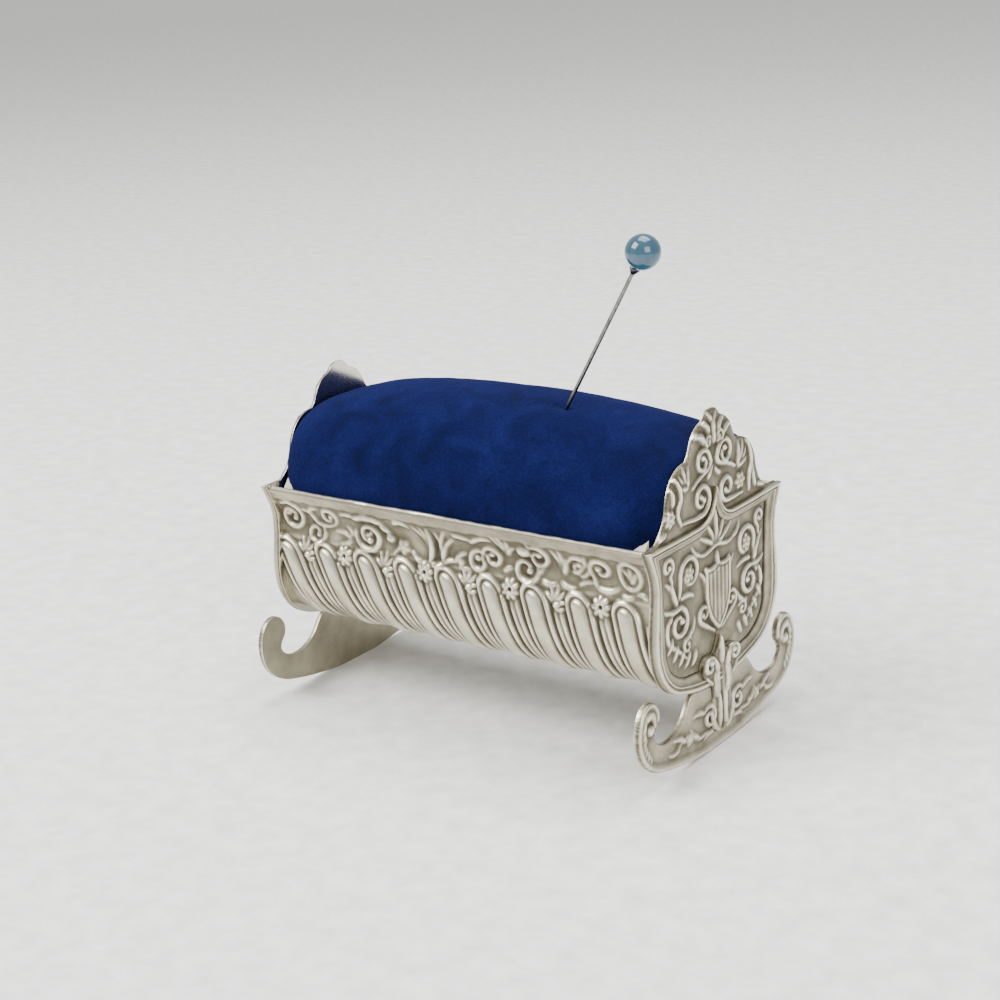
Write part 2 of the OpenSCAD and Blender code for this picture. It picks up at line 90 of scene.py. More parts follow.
class CradleSizes(bpy.types.PropertyGroup):
    """Sizes of the cradle and the pad"""
    corner_w: length("Corner width", "Width of a shield over its corners",
                     2 * span("right_end_border", "y")[1])
    waist_w: length("Waist width", "Width of a shield at its waist", 34.4)
    belly_w: length("Belly width", "Width of a shield at its belly", 35.8)
    rim_z: length("Rim height", "Height of the rim and the shield's corners",
                  span("front_rim_wire", "z")[1])
    base_z: length("Base height", "Height of the shield's bottom", span("right_end_border", "z")[0])
    cusp_z: length("Cusp height", "Height of the cusp on the shield", span("right_end_border", "z")[1])
    crown_z: length("Crown height", "Height of the pediment's crown", span("right_end_plate", "z")[1])
    pediment_w: length("Pediment width", "Width of the pediment where it leaves the shield", 32.8)
    shoulder_w: length("Shoulder width", "Width of the pediment at its shoulders", 25.6)
    lobe_w: length("Lobe width", "Width of the pediment's upper lobes", 13.6)
    border_w: length("Border width", "Width of the moulded border at the sides", 3.0)
    top_border_w: length("Top border width", "Width of the border along the shield's top", 2.1)
    front_x: length("Border front", "Front of the border, from the middle of the cradle",
                    span("right_end_border", "x")[1])
    plate_x: length("Plate front", "Front of an end plate, from the middle",
                    span("right_end_border", "x")[0])
    inner_x: length("Plate back", "Inner face of an end plate, from the middle",
                    span("right_end_plate", "x")[0])
    sheet_t: length("Sheet thickness", "Thickness of the stamped trough", 0.5)
    reveal: length("Reveal", "How far the trough lies inside the outline of the ends", 1.1)
    wire_r: length("Rim wire radius", "Radius of the wire along the rim", 0.45)
    rocker_w: length("Rocker width", "Width over the curled ends", 2 * span("right_rocker", "y")[1])
    rocker_x: length("Rocker back", "Inner face of a rocker, from the middle", span("right_rocker", "x")[0])
    rock_r: length("Rocking radius", "Radius of the arc that a rocker rolls on", 66.0)
    worn_w: length("Worn flat", "Width of the worn flat under a rocker", 7.0)
    curl_z: length("Curl height", "Height of the curled ends", 14.0)
    stem_z: length("Stem height", "Height of the acanthus stem's top", span("right_rocker", "z")[1])
    crest_z: length("Crest", "Height of the pad's crest in its middle", span("velvet_cover", "z")[1])
    crest_end_z: length("End crest", "Height of the pad's crest at its ends", 46.4)
    grain: length("Grid", "Distance between the points that the ornament is cut from", 0.14)


class CradleFinish(bpy.types.PropertyGroup):
    """Colours of the metal, velvet and glass"""
    silver_high: tint("Worn silver", "Silver on ridges that handling keeps bright", "#e6e1d2")
    silver_mid: tint("Silver", "Silver on plain surfaces", "#b9b29c")
    silver_low: tint("Oxidised silver", "Silver in the hollows", "#4a4537")
    silver_polish: tint("Polished silver", "Inner faces of the ends", "#dad6c8")
    velvet: tint("Velvet", "Cotton velvet", "#0a0f38")
    velvet_sheen: tint("Nap", "Tips of the pile where light grazes them", "#3a4690")
    glass: tint("Glass head", "Opaque glass of the ball", "#2f5468")
    collar: tint("Collar", "Dark glass bead under the ball", "#16191d")
    steel: tint("Steel", "Shank of the pin", "#8d8c88")
    floor: tint("Floor", "Studio floor", "#f4f4f2")
    petals: IntProperty(name="Petals", description="Petals of a daisy on the trough", default=8,
                        min=5, max=12)


class Sizes:
    """The sizes of a scene's cradle, read in millimetres"""

    def __init__(self, context):
        self.group = context.scene.cradle_sizes

    def __getattr__(self, name):
        return getattr(self.group, name) / MM


# Outlines, on the CAD model's curves. A half outline runs from the middle line round to the middle line.

WAIST_DROP = 6.3                       # from the shield's corners down to its waist
BELLY_DROP = 14.2                      # from the shield's corners down to its belly
TURN_IN = 5.3                          # how far in the side has turned into the bottom
TURN_RISE = 2.3                        # height of that turn above the bottom
NECK_SHARE = 0.68                      # where a rocker's top meets the shield, as a share of the turn
RIM_REVEAL = 0.3                       # how far the trough lies inside the ends at its rim
EDGE_DROP = 0.2                        # from the rim wire's middle down to the sheet's edge
WIRE_FLAT = 0.42                       # from the rim wire's middle down to its flat underside
PANEL_STEPS = 24                       # points on each curve of the trough's outline


def curve(points, count):
    """Points of a cubic curve, without its last one"""
    t = np.linspace(0, 1, count, endpoint=False)[:, None]
    a, b, c, d = (np.array(p, float) for p in points)
    return (1 - t)**3 * a + 3 * (1 - t)**2 * t * b + 3 * (1 - t) * t * t * c + t**3 * d


def both_sides(half):
    """A closed outline from its right half"""
    left = half[-2:0:-1] * (-1, 1)
    return np.vstack([half, left])


def left_of(line):
    """Unit vectors to the left of an open line at each of its points"""
    way = np.gradient(line, axis=0)
    way /= np.linalg.norm(way, axis=1)[:, None] + 1e-12
    return np.stack([-way[:, 1], way[:, 0]], 1)


def shield_side(c, n):
    """Right side of the shield, from its corner down to the middle of its bottom"""
    corner, waist, belly = c.corner_w / 2, c.waist_w / 2, c.belly_w / 2
    waist_z, belly_z = c.rim_z - WAIST_DROP, c.rim_z - BELLY_DROP
    turn, turn_z = belly - TURN_IN, c.base_z + TURN_RISE
    return np.vstack([
        curve([(corner, c.rim_z), (corner - 1, c.rim_z - 2.2), (waist, waist_z + 2.4),
               (waist, waist_z)], n),
        curve([(waist, waist_z), (waist, waist_z - 2.8), (belly, belly_z + 2.8), (belly, belly_z)], n),
        curve([(belly, belly_z), (belly, belly_z - 4.6), (turn + 2.7, turn_z + 1.1),
               (turn, turn_z)], n),
        curve([(turn, turn_z), (turn * 0.7, turn_z - 1.5), (turn * 0.35, c.base_z), (0, c.base_z)], n),
        [(0, c.base_z)]])


def shield_top(c, n):
    """Top of the shield from its cusp out to its corner"""
    corner = c.corner_w / 2
    return np.vstack([
        curve([(0, c.cusp_z), (0.9, c.cusp_z - 2.4), (1.4, c.rim_z + 0.2), (4.6, c.rim_z - 0.1)], n),
        curve([(4.6, c.rim_z - 0.1), (corner * 0.5, c.rim_z - 0.2), (corner * 0.75, c.rim_z),
               (corner, c.rim_z)], n)])


def field_side(c, n):
    """Right side of the sunk field inside the border"""
    y, z = c.belly_w / 2 - c.border_w, c.rim_z - c.top_border_w
    waist_z, belly_z = c.rim_z - WAIST_DROP, c.rim_z - BELLY_DROP
    turn, low = c.belly_w / 2 - TURN_IN, c.base_z + TURN_RISE + c.border_w
    foot = c.base_z + c.border_w - 0.2
    return np.vstack([
        curve([(y + 0.4, z), (y + 0.1, z - 2), (y - 0.1, waist_z + 1), (y - 0.1, waist_z)], n),
        curve([(y - 0.1, waist_z), (y - 0.2, waist_z - 3), (y - 0.5, belly_z),
               (y - 0.7, belly_z - 3)], n),
        curve([(y - 0.7, belly_z - 3), (y - 1.1, belly_z - 5), (turn, low - 0.4),
               (turn - 3.4, low - 1.6)], n),
        curve([(turn - 3.4, low - 1.6), (turn * 0.45, low - 2), (turn * 0.2, foot), (0, foot)], n),
        [(0, foot)]])


def field_top(c, n):
    """Top of the sunk field from under the cusp out to its corner"""
    y, z = c.belly_w / 2 - c.border_w + 0.4, c.rim_z - c.top_border_w
    return np.vstack([
        curve([(0, c.cusp_z - 1.5), (0.3, c.cusp_z - 3.4), (0.8, z + 0.3), (5.2, z)], n),
        curve([(5.2, z), (y * 0.6, z - 0.1), (y * 0.8, z), (y, z)], n)])


def pediment_side(c, n):
    """Right side of the pediment, from its crown down to the shield's corner"""
    lobe, shoulder = c.lobe_w / 2, c.shoulder_w / 2
    shoulder_z = c.rim_z + (c.crown_z - c.rim_z) * 0.62
    lobe_z = c.crown_z - 1.8
    return np.vstack([
        curve([(0, c.crown_z), (2, c.crown_z + 0.2), (1.7, lobe_z + 0.9), (2.7, lobe_z + 0.4)], n),
        curve([(2.7, lobe_z + 0.4), (lobe - 0.9, lobe_z - 0.4), (lobe - 0.9, shoulder_z + 1),
               (lobe, shoulder_z + 0.4)], n),
        curve([(lobe + 0.4, shoulder_z), (shoulder - 2.4, shoulder_z), (shoulder - 0.4, shoulder_z - 2.4),
               (shoulder, c.rim_z + 5)], n),
        curve([(shoulder, c.rim_z + 5), (shoulder + 0.5, c.rim_z + 2.4),
               (c.pediment_w / 2 - 1.8, c.rim_z + 1), (c.pediment_w / 2, c.rim_z)], n)])


def arc_z(c, y):
    """Height of the rolling arc of a rocker above the floor"""
    sag = c.rock_r - math.sqrt(c.rock_r**2 - c.worn_w**2 / 4)
    return c.rock_r - np.sqrt(c.rock_r**2 - y * y) - sag


def rocker_side(c, n):
    """Right side of a rocker, from the floor round its curl to the neck under the shield"""
    curl, top = c.rocker_w / 2, c.curl_z
    arc = curl * 0.74
    slope = arc / math.sqrt(c.rock_r**2 - arc**2)
    low = float(arc_z(c, arc))
    rolling = [(y, float(arc_z(c, y))) for y in np.linspace(c.worn_w / 2, arc, 12)[1:-1]]
    side = shield_side(c, n)
    neck = [p for p in side[::-1] if p[0] <= (c.belly_w / 2 - TURN_IN) * NECK_SHARE]
    last = neck[-1]
    return np.vstack([
        [(0, 0), (c.worn_w / 2, 0)], rolling,
        curve([(arc, low), (arc + 2.6, low + 2.6 * slope), (curl, 5), (curl, 9.4)], n),
        curve([(curl, 9.4), (curl, top - 2), (curl - 1.4, top), (curl - 3.3, top)], n),
        curve([(curl - 3.3, top), (curl - 5, top), (curl - 6.4, top - 2.2), (curl - 5.5, top - 3.8)], n),
        curve([(curl - 5.5, top - 3.8), (curl - 4.8, top - 4.6), (curl - 4.2, top - 5.2),
               (curl - 4.6, top - 6.2)], n),
        curve([(curl - 4.6, top - 6.2), (curl - 6.2, 5.6), (curl - 10, 5.6), (curl - 12.6, 8)], n),
        curve([(curl - 12.6, 8), (curl - 13.6, 9), (last[0] + 1.2, last[1] - 0.5), last], n),
        neck[::-1]])


def stem_side(c, n):
    """Right side of the acanthus stem in front of a rocker's neck"""
    z = c.stem_z
    return np.vstack([
        curve([(0, z), (1, z - 2), (1.4, z - 3), (2.4, z - 2.6)], n),
        curve([(2.4, z - 2.6), (5.2, z - 1.8), (6.4, z - 4.6), (4.4, z - 6)], n),
        curve([(4.4, z - 6), (2.6, z - 7.4), (2, z - 9), (3.4, z - 12)], n),
        curve([(3.4, z - 12), (4, z - 14), (2, 2.4), (0, 1.8)], n),
        [(0, 1.8)]])


def panel_line(c, n):
    """Outer line of the trough's plain sheet, from the rim to the seam, as distance out and height"""
    side = shield_side(c, n)
    share = np.minimum(1, np.arange(len(side)) / n)
    line = side - (RIM_REVEAL + (c.reveal - RIM_REVEAL) * share)[:, None] * left_of(side)
    top = c.rim_z - c.wire_r - EDGE_DROP
    line[0] = line[0] + (line[1] - line[0]) * (line[0][1] - top) / (line[0][1] - line[1][1])
    line[-1] = (0, c.base_z + c.reveal)
    return line


# Relief

CHASED_GROOVE = 0.22                   # width of the groove that a punch leaves round ornament


def ridge(v, t):
    """Round ridge"""
    return np.sqrt(np.clip(1 - v * v, 0, 1))


def ribbon(v, t):
    """Flat ribbon with raised edges, as the band of a scroll"""
    return np.clip(1 - v**6, 0, 1) * (0.74 + 0.26 * np.abs(v)**1.5)


def leaf_face(lobes):
    """Leaf with a raised midrib and slanting grooves between its lobes"""
    def face(v, t):
        groove = (0.5 + 0.5 * np.cos(2 * math.pi * (lobes * t - 0.75 * np.abs(v))))**4
        rib = np.exp(-(v / 0.16)**2)
        blade = np.clip(1 - np.abs(v)**2.6, 0, 1) * (0.72 - 0.3 * groove * np.abs(v)**0.5)
        return blade + 0.28 * rib * (1 - t)
    return face


def sunk(old, gap):
    """Heights lowered beside new ornament, by their distance from its edge"""
    return old * (0.35 + 0.65 * np.clip(gap / CHASED_GROOVE, 0, 1))


class Relief:
    """Heights of ornament over a grid, in millimetres"""

    def __init__(self, across, along):
        self.across, self.along = across, along
        self.u, self.v = np.meshgrid(across, along, indexing="ij")
        self.h = np.zeros_like(self.u)

    def window(self, low, high):
        """The block of the grid between two corners"""
        i = np.searchsorted(self.across, (low[0], high[0]))
        j = np.searchsorted(self.along, (low[1], high[1]))
        return slice(i[0], i[1]), slice(j[0], j[1])

    def along_line(self, line, reach):
        """A block round a line, with the signed distance to it and the share of its length"""
        line = np.asarray(line, float)
        block = self.window(line.min(0) - reach, line.max(0) + reach)
        u, v = self.u[block], self.v[block]
        near = np.full(u.shape, 1e9)
        share = np.zeros(u.shape)
        steps = np.hypot(*np.diff(line, axis=0).T)
        start = np.concatenate([[0], np.cumsum(steps)])
        for i, (a, b) in enumerate(zip(line[:-1], line[1:])):
            way = (b - a) / max(steps[i], 1e-9)
            du, dv = u - a[0], v - a[1]
            run = np.clip(du * way[0] + dv * way[1], 0, steps[i])
            gap = np.hypot(du - run * way[0], dv - run * way[1])
            side = np.where(du * way[1] - dv * way[0] > 0, 1.0, -1.0)
            closer = gap < np.abs(near)
            near = np.where(closer, gap * side, near)
            share = np.where(closer, (start[i] + run) / start[-1], share)
        return block, near, share

    def stroke(self, line, widths, height, section=ridge, keep=0.25, rise=(1, 1)):
        """Raises a tapering stroke over a line, and sinks what lies just beside it"""
        reach = max(widths) * 1.5
        block, near, share = self.along_line(line, reach)
        if near.size == 0:
            return
        half = np.interp(share, np.linspace(0, 1, len(widths)), widths) + 1e-6
        lift = np.interp(share, np.linspace(0, 1, len(rise)), rise) * height
        v = near / half
        old = self.h[block]
        inside = np.abs(v) < 1
        body = lift * section(np.clip(v, -1, 1), share) + keep * old
        self.h[block] = np.where(inside, np.maximum(body, old * 0.4), sunk(old, np.abs(near) - half))

    def scroll(self, at, radius, start, turn, width=0.42, height=0.6, inner=0.3, lead=None):
        """A ribbon that winds in to a bead. Angles are in degrees, and its stem starts at lead."""
        count = max(12, int(abs(turn) / 18))
        t = np.linspace(0, 1, count)
        angle = np.radians(start + turn * t)
        r = radius * (1 - (1 - inner) * t**1.1)
        line = np.stack([at[0] + r * np.cos(angle), at[1] + r * np.sin(angle)], 1)
        if lead is not None:
            way = line[0] - line[1]
            way /= np.hypot(*way)
            reach = np.hypot(*(line[0] - lead)) * 0.5
            halfway = (np.array(lead) + line[0]) / 2
            line = np.vstack([curve([lead, halfway, line[0] + way * reach, line[0]], 7), line])
        widths = (width * 0.5, width, width, width * 0.8, width * 0.6)
        self.stroke(line, widths, height, ribbon, rise=(0.8, 1, 1))
        self.bead(line[-1], width * 1.25, height * 1.15)

    def bead(self, at, radius, height, stretch=1.0):
        """A round boss, stretched along the first axis if wanted"""
        at = np.asarray(at, float)
        block = self.window(at - radius * max(1, stretch) * 1.4, at + radius * max(1, stretch) * 1.4)
        d = np.hypot((self.u[block] - at[0]) / stretch, self.v[block] - at[1]) / radius
        old = self.h[block]
        dome = height * np.sqrt(np.clip(1 - d * d, 0, 1))
        self.h[block] = np.where(d < 1, np.maximum(dome, old * 0.5), sunk(old, (d - 1) * radius))

    def leaf(self, base, tip, bend=0.15, width=0.7, height=0.6, lobes=3):
        """An acanthus leaf from its base to its tip, bent to one side"""
        base, tip = np.array(base, float), np.array(tip, float)
        way = tip - base
        out = np.array([-way[1], way[0]]) * bend
        line = curve([base, base + way * 0.3 + out, base + way * 0.7 + out * 1.2, tip], 10)
        line = np.vstack([line, tip])
        t = np.linspace(0, 1, 24)
        notch = (lobes * t) % 1
        lobed = 0.68 + 0.32 * np.sin(math.pi * notch**0.8)
        widths = width * np.sin(math.pi * t**0.62)**0.75 * lobed + 0.05
        self.stroke(line, widths, height, leaf_face(lobes), rise=(0.75, 1, 1, 0.7))

    def stem(self, points, width=0.3, height=0.45, ends=(0.4, 0.4)):
        """A smooth stalk through a few points"""
        self.stroke(smooth(points, 6), (width * ends[0], width, width, width * ends[1]), height, ridge)

    def flower(self, at, radius, petals, height=0.7, turn=0.0, heart="ring"):
        """An open flower: petals round a pierced ring or a boss"""
        at = np.asarray(at, float)
        block = self.window(at - radius * 1.3, at + radius * 1.3)
        du, dv = self.u[block] - at[0], self.v[block] - at[1]
        d = np.hypot(du, dv) / radius
        petal = np.abs(np.cos((np.arctan2(dv, du) - math.radians(turn)) * petals / 2))
        edge = d / (0.66 + 0.34 * petal**0.5)
        cup = np.clip(0.55 + 0.5 * d, 0, 1)
        face = height * np.clip(1 - edge**4, 0, 1) * (0.45 + 0.55 * petal**0.6) * cup
        ring = height * 1.05 * np.exp(-((d - 0.29) / 0.1)**2)
        core = ring if heart == "ring" else height * 1.1 * np.sqrt(np.clip(1 - (d / 0.33)**2, 0, 1))
        body = np.where(d < 0.42, np.maximum(core, face * (d > 0.36)), face)
        old = self.h[block]
        self.h[block] = np.where(edge < 1, body, sunk(old, (edge - 1) * radius))

    def ring(self, at, ru, rv, width=0.3, height=0.5):
        """An oval ring"""
        a = np.linspace(0, 2 * math.pi, 28)
        line = np.stack([at[0] + ru * np.cos(a), at[1] + rv * np.sin(a)], 1)
        self.stroke(line, (width, width), height, ribbon)

    def soften(self):
        """Rounds the heights a little, as years of polishing do"""
        self.h = blurred(self.h, 1)


def smooth(points, count):
    """A line that passes smoothly through each point"""
    p = np.array(points, float)
    p = np.vstack([2 * p[0] - p[1], p, 2 * p[-1] - p[-2]])
    t = np.linspace(0, 1, count, endpoint=False)[:, None]
    out = []
    for a, b, c, d in zip(p[:-3], p[1:-2], p[2:-1], p[3:]):
        out.append(0.5 * (2 * b + (c - a) * t + (2 * a - 5 * b + 4 * c - d) * t**2
                          + (3 * b - a - 3 * c + d) * t**3))
    return np.vstack(out + [p[-2:-1]])


def blurred(values, radius):
    """Mean of each value and its neighbours within a radius in cells, twice over"""
    out = values
    for axis in (0, 1, 0, 1):
        pad = [(radius + 1, radius) if a == axis else (0, 0) for a in (0, 1)]
        total = np.cumsum(np.pad(out, pad, mode="edge"), axis=axis)
        width = 2 * radius + 1
        count = values.shape[axis]
        high = np.take(total, range(width, width + count), axis=axis)
        low = np.take(total, range(count), axis=axis)
        out = (high - low) / width
    return out


def hollowness(heights, cell):
    """How far each point lies under its surroundings, from 0 on a ridge to 1 in a deep hollow"""
    wide = blurred(heights, max(1, round(0.8 / cell)))
    tight = blurred(heights, max(1, round(0.3 / cell)))
    depth = 0.6 * (wide - heights) + 0.9 * (tight - heights)
    return np.clip(0.5 + depth * 1.9, 0, 1)


# Materials

def linear(code):
    """Linear colour from an sRGB hex value"""
    channels = [int(code[i:i + 2], 16) / 255 for i in (1, 3, 5)]
    return tuple(v / 12.92 if v <= 0.04045 else ((v + 0.055) / 1.055)**2.4 for v in channels) + (1.0,)


def add_node(tree, kind, settings=None, links=None):
    """Adds a shader node, gives its settings or inputs their values, and links its inputs"""
    node = tree.nodes.new("ShaderNode" + kind)
    for key, value in (settings or {}).items():
        if isinstance(key, str) and hasattr(node, key):
            setattr(node, key, value)
        else:
            node.inputs[key].default_value = value
    for key, source in (links or {}).items():
        tree.links.new(source, node.inputs[key])
    return node


def new_material(name):
    """An empty material, with its tree"""
    material = bpy.data.materials.new(name)
    material.use_nodes = True
    material.node_tree.nodes.clear()
    return material, material.node_tree


def grain(tree, size, detail=3.0, rough=0.55, stretch=(1, 1, 1), distortion=0.0):
    """Noise whose features are about a given size in millimetres"""
    place = add_node(tree, "TexCoord")
    scaled = add_node(tree, "Mapping", {"Scale": stretch}, {"Vector": place.outputs["Object"]})
    return add_node(tree, "TexNoise", {"Scale": 1 / (size * MM), "Detail": detail, "Roughness": rough,
                                       "Distortion": distortion}, {"Vector": scaled.outputs["Vector"]})


def ramp(tree, source, stops):
    """A colour ramp with (place, colour) stops, where a plain number is a grey"""
    node = add_node(tree, "ValToRGB", links={"Fac": source})
    while len(node.color_ramp.elements) < len(stops):
        node.color_ramp.elements.new(0.5)
    for element, (place, colour) in zip(node.color_ramp.elements, stops):
        element.position = place
        element.color = linear(colour) if isinstance(colour, str) else (colour, colour, colour, 1)
    return node.outputs["Color"]


def math_node(tree, operation, first, second):
    """Arithmetic on sockets or plain numbers"""
    node = add_node(tree, "Math", {"operation": operation})
    for slot, value in enumerate((first, second)):
        if isinstance(value, (int, float)):
            node.inputs[slot].default_value = value
        else:
            tree.links.new(value, node.inputs[slot])
    return node.outputs["Value"]


def surface(tree, settings, links, bump=None, strength=0.3, depth=0.05):
    """The shader and its output, with an optional bump whose depth is in millimetres"""
    shader = add_node(tree, "BsdfPrincipled", settings, links)
    if bump is not None:
        relief = add_node(tree, "Bump", {"Strength": strength, "Distance": depth * MM}, {"Height": bump})
        tree.links.new(relief.outputs["Normal"], shader.inputs["Normal"])
    add_node(tree, "OutputMaterial", links={"Surface": shader.outputs["BSDF"]})


def antique_silver(finish, name):
    """Sterling silver, stamped or cast, oxidised and then rubbed: dark hollows, bright ridges, a satin sheen
    from fine pitting of about 0.15 mm"""
    material, tree = new_material(name)
    patches = grain(tree, 3.5, 4)
    pits = grain(tree, 0.16, 2)
    # this attribute darkens the colour: oxide in the hollows of the castings and the trough, and painted
    # shade on the rim wire's underside and inner half
    depth = add_node(tree, "Attribute", {"attribute_name": "hollow"}).outputs["Fac"]
    shift = math_node(tree, "MULTIPLY", math_node(tree, "SUBTRACT", patches.outputs["Fac"], 0.5), 0.35)
    speck = math_node(tree, "MULTIPLY", math_node(tree, "SUBTRACT", pits.outputs["Fac"], 0.5), 0.3)
    level = math_node(tree, "ADD", math_node(tree, "ADD", depth, shift), speck)
    colour = ramp(tree, level, [(0.12, finish.silver_high), (0.42, finish.silver_mid),
                                (0.66, mix_hex(finish.silver_mid, finish.silver_low, 0.62)),
                                (0.95, finish.silver_low)])
    dull = ramp(tree, level, [(0.15, 0.3), (0.5, 0.4), (0.95, 0.62)])
    surface(tree, {"Metallic": 1.0}, {"Base Color": colour, "Roughness": dull},
            pits.outputs["Fac"], 0.35, 0.04)
    return material


def silver_of(name, finish):
    """Antique silver, stamped or cast as its name says"""
    return material_of(name, antique_silver, finish, name)


def mix_hex(first, second, share):
    """An sRGB hex value between two others"""
    pairs = [(int(first[i:i + 2], 16), int(second[i:i + 2], 16)) for i in (1, 3, 5)]
    return "#" + "".join(f"{round(a + (b - a) * share):02x}" for a, b in pairs)


def polished_silver(finish):
    """Sterling silver, polished by hand: mirrors what is near, with hairline scratches and faint tarnish"""
    material, tree = new_material("polished_sterling_silver")
    scratches = grain(tree, 0.2, 2, stretch=(1, 0.12, 1))
    clouds = grain(tree, 6, 3)
    tarnish = mix_hex(finish.silver_polish, finish.silver_mid, 0.5)
    colour = ramp(tree, clouds.outputs["Fac"], [(0.3, finish.silver_polish), (0.75, tarnish)])
    dull = ramp(tree, clouds.outputs["Fac"], [(0.3, 0.14), (0.75, 0.22)])
    surface(tree, {"Metallic": 1.0}, {"Base Color": colour, "Roughness": dull},
            scratches.outputs["Fac"], 0.12, 0.01)
    return material


def filed_silver(finish):
    """Cast silver, filed flat and buffed on its back: satin, with fine streaks along the rocker"""
    material, tree = new_material("filed_sterling_silver")
    streaks = grain(tree, 0.25, 3, stretch=(1, 0.1, 0.5))
    clouds = grain(tree, 5, 4)
    tarnish = mix_hex(finish.silver_mid, finish.silver_low, 0.3)
    colour = ramp(tree, clouds.outputs["Fac"], [(0.3, finish.silver_mid), (0.7, tarnish)])
    dull = ramp(tree, streaks.outputs["Fac"], [(0.3, 0.34), (0.7, 0.46)])
    surface(tree, {"Metallic": 1.0}, {"Base Color": colour, "Roughness": dull},
            streaks.outputs["Fac"], 0.25, 0.02)
    return material


def cotton_velvet(finish):
    """Cotton velvet, woven with a cut pile of about 1 mm and dyed navy: matt, blue where the tips of the
    pile graze the light, with brushed patches whose brightest parts carry a little painted sheen. Tufts are
    drawn 0.35 mm wide so that they show."""
    material, tree = new_material("cotton_velvet")
    tufts = grain(tree, 0.35, 3, 0.7)
    brushed_nap_and_sheen = grain(tree, 7, 4, 0.6, distortion=0.6)
    tone = math_node(tree, "ADD", math_node(tree, "MULTIPLY", brushed_nap_and_sheen.outputs["Fac"], 0.5),
                     math_node(tree, "MULTIPLY", tufts.outputs["Fac"], 0.5))
    # darker brushed patches are the nap's own tone; the brightest are mixed with the blue sheen colour, a
    # painted sheen
    colour = ramp(tree, tone, [(0.3, mix_hex(finish.velvet, "#000000", 0.55)), (0.5, finish.velvet),
                               (0.72, mix_hex(finish.velvet, finish.velvet_sheen, 0.22))])
    surface(tree, {"Roughness": 0.95, "Specular IOR Level": 0.05, "Sheen Weight": 0.22,
                   "Sheen Roughness": 0.4, "Sheen Tint": linear(finish.velvet_sheen)},
            {"Base Color": colour}, tufts.outputs["Fac"], 0.7, 0.25)
    return material


def opaque_glass(name, colour, rough):
    """Opaque glass, wound hot on the shank: deep colour under a wet gloss, with faint streaks"""
    material, tree = new_material(name)
    streaks = grain(tree, 1.6, 3, stretch=(1, 1, 0.3))
    tone = ramp(tree, streaks.outputs["Fac"], [(0.35, colour), (0.7, mix_hex(colour, "#0c1a26", 0.3))])
    surface(tree, {"Roughness": rough, "IOR": 1.52, "Coat Weight": 0.4, "Coat Roughness": 0.04},
            {"Base Color": tone}, streaks.outputs["Fac"], 0.05, 0.02)
    return material


def drawn_steel(finish):
    """Hard steel wire, drawn and a little tarnished with age"""
    material, tree = new_material("drawn_steel")
    streaks = grain(tree, 0.3, 3, stretch=(1, 1, 0.15))
    tarnish = mix_hex(finish.steel, "#3b342c", 0.6)
    colour = ramp(tree, streaks.outputs["Fac"], [(0.3, finish.steel), (0.75, tarnish)])
    surface(tree, {"Metallic": 1.0, "Roughness": 0.3}, {"Base Color": colour},
            streaks.outputs["Fac"], 0.1, 0.01)
    return material


def plain_material(name, colour, rough, size, depth):
    """A matt material with a grain: sawn board, packed wadding or the studio floor"""
    material, tree = new_material(name)
    specks = grain(tree, size, 4)
    tone = ramp(tree, specks.outputs["Fac"], [(0.3, colour), (0.8, mix_hex(colour, "#000000", 0.12))])
    surface(tree, {"Roughness": rough}, {"Base Color": tone}, specks.outputs["Fac"], 0.3, depth)
    return material


def material_of(name, maker, *given):
    """The named material, made by its maker the first time that it is asked for"""
    return bpy.data.materials.get(name) or maker(*given)


# Meshes

def add_piece(name, points, faces, materials, body, node, slot, flat=None, kinds=None, hollow=None):
    """Makes a piece from points in millimetres. flat and kinds give, for each face, whether it is flat
    shaded and which material it has, and the hollow values are kept as an attribute of the points: oxide in
    the hollows, and on the rim wire a painted shade."""
    mesh = bpy.data.meshes.new(name)
    mesh.from_pydata((np.asarray(points) * MM).tolist(), [], faces)
    for material in materials:
        mesh.materials.append(material)
    count = len(mesh.polygons)
    rounded = np.ones(count, bool) if flat is None else ~np.asarray(flat, bool)
    mesh.polygons.foreach_set("use_smooth", rounded)
    if kinds is not None:
        mesh.polygons.foreach_set("material_index", np.asarray(kinds, np.int32))
    if hollow is not None:
        values = np.asarray(hollow, np.float32)
        mesh.attributes.new("hollow", "FLOAT", "POINT").data.foreach_set("value", values)
    mesh.update()
    obj = bpy.data.objects.new(name, mesh)
    bpy.context.scene.collection.objects.link(obj)
    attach(obj, body)
    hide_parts(node)
    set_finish(obj, slot)
    return obj


def copy_piece(source, name, node):
    """The same casting or stamping turned half round for the other side"""
    mesh = source.data.copy()
    mesh.transform(Matrix.Rotation(math.pi, 4, "Z"))
    obj = bpy.data.objects.new(name, mesh)
    bpy.context.scene.collection.objects.link(obj)
    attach(obj, "cradle")
    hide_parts(node)
    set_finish(obj, source["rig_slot"])
    return obj


def inside(outline, u, v):
    """Whether each point lies inside a closed outline"""
    result = np.zeros(u.shape, bool)
    for (a, b), (c, d) in zip(outline, np.roll(outline, -1, axis=0)):
        if b != d:
            result ^= ((v > b) != (v > d)) & (u < (c - a) * (v - b) / (d - b) + a)
    return result


def depth_inside(relief, outline, reach):
    """Distance from the outline at each grid point, as far as reach"""
    away = np.full(relief.h.shape, float(reach))
    closed = np.vstack([outline, outline[:1]])
    for a, b in zip(closed[:-1], closed[1:]):
        block = relief.window(np.minimum(a, b) - reach, np.maximum(a, b) + reach)
        way = b - a
        run = ((relief.u[block] - a[0]) * way[0] + (relief.v[block] - a[1]) * way[1]) / max(way @ way, 1e-12)
        run = np.clip(run, 0, 1)
        gap = np.hypot(relief.u[block] - a[0] - run * way[0], relief.v[block] - a[1] - run * way[1])
        away[block] = np.minimum(away[block], gap)
    return away


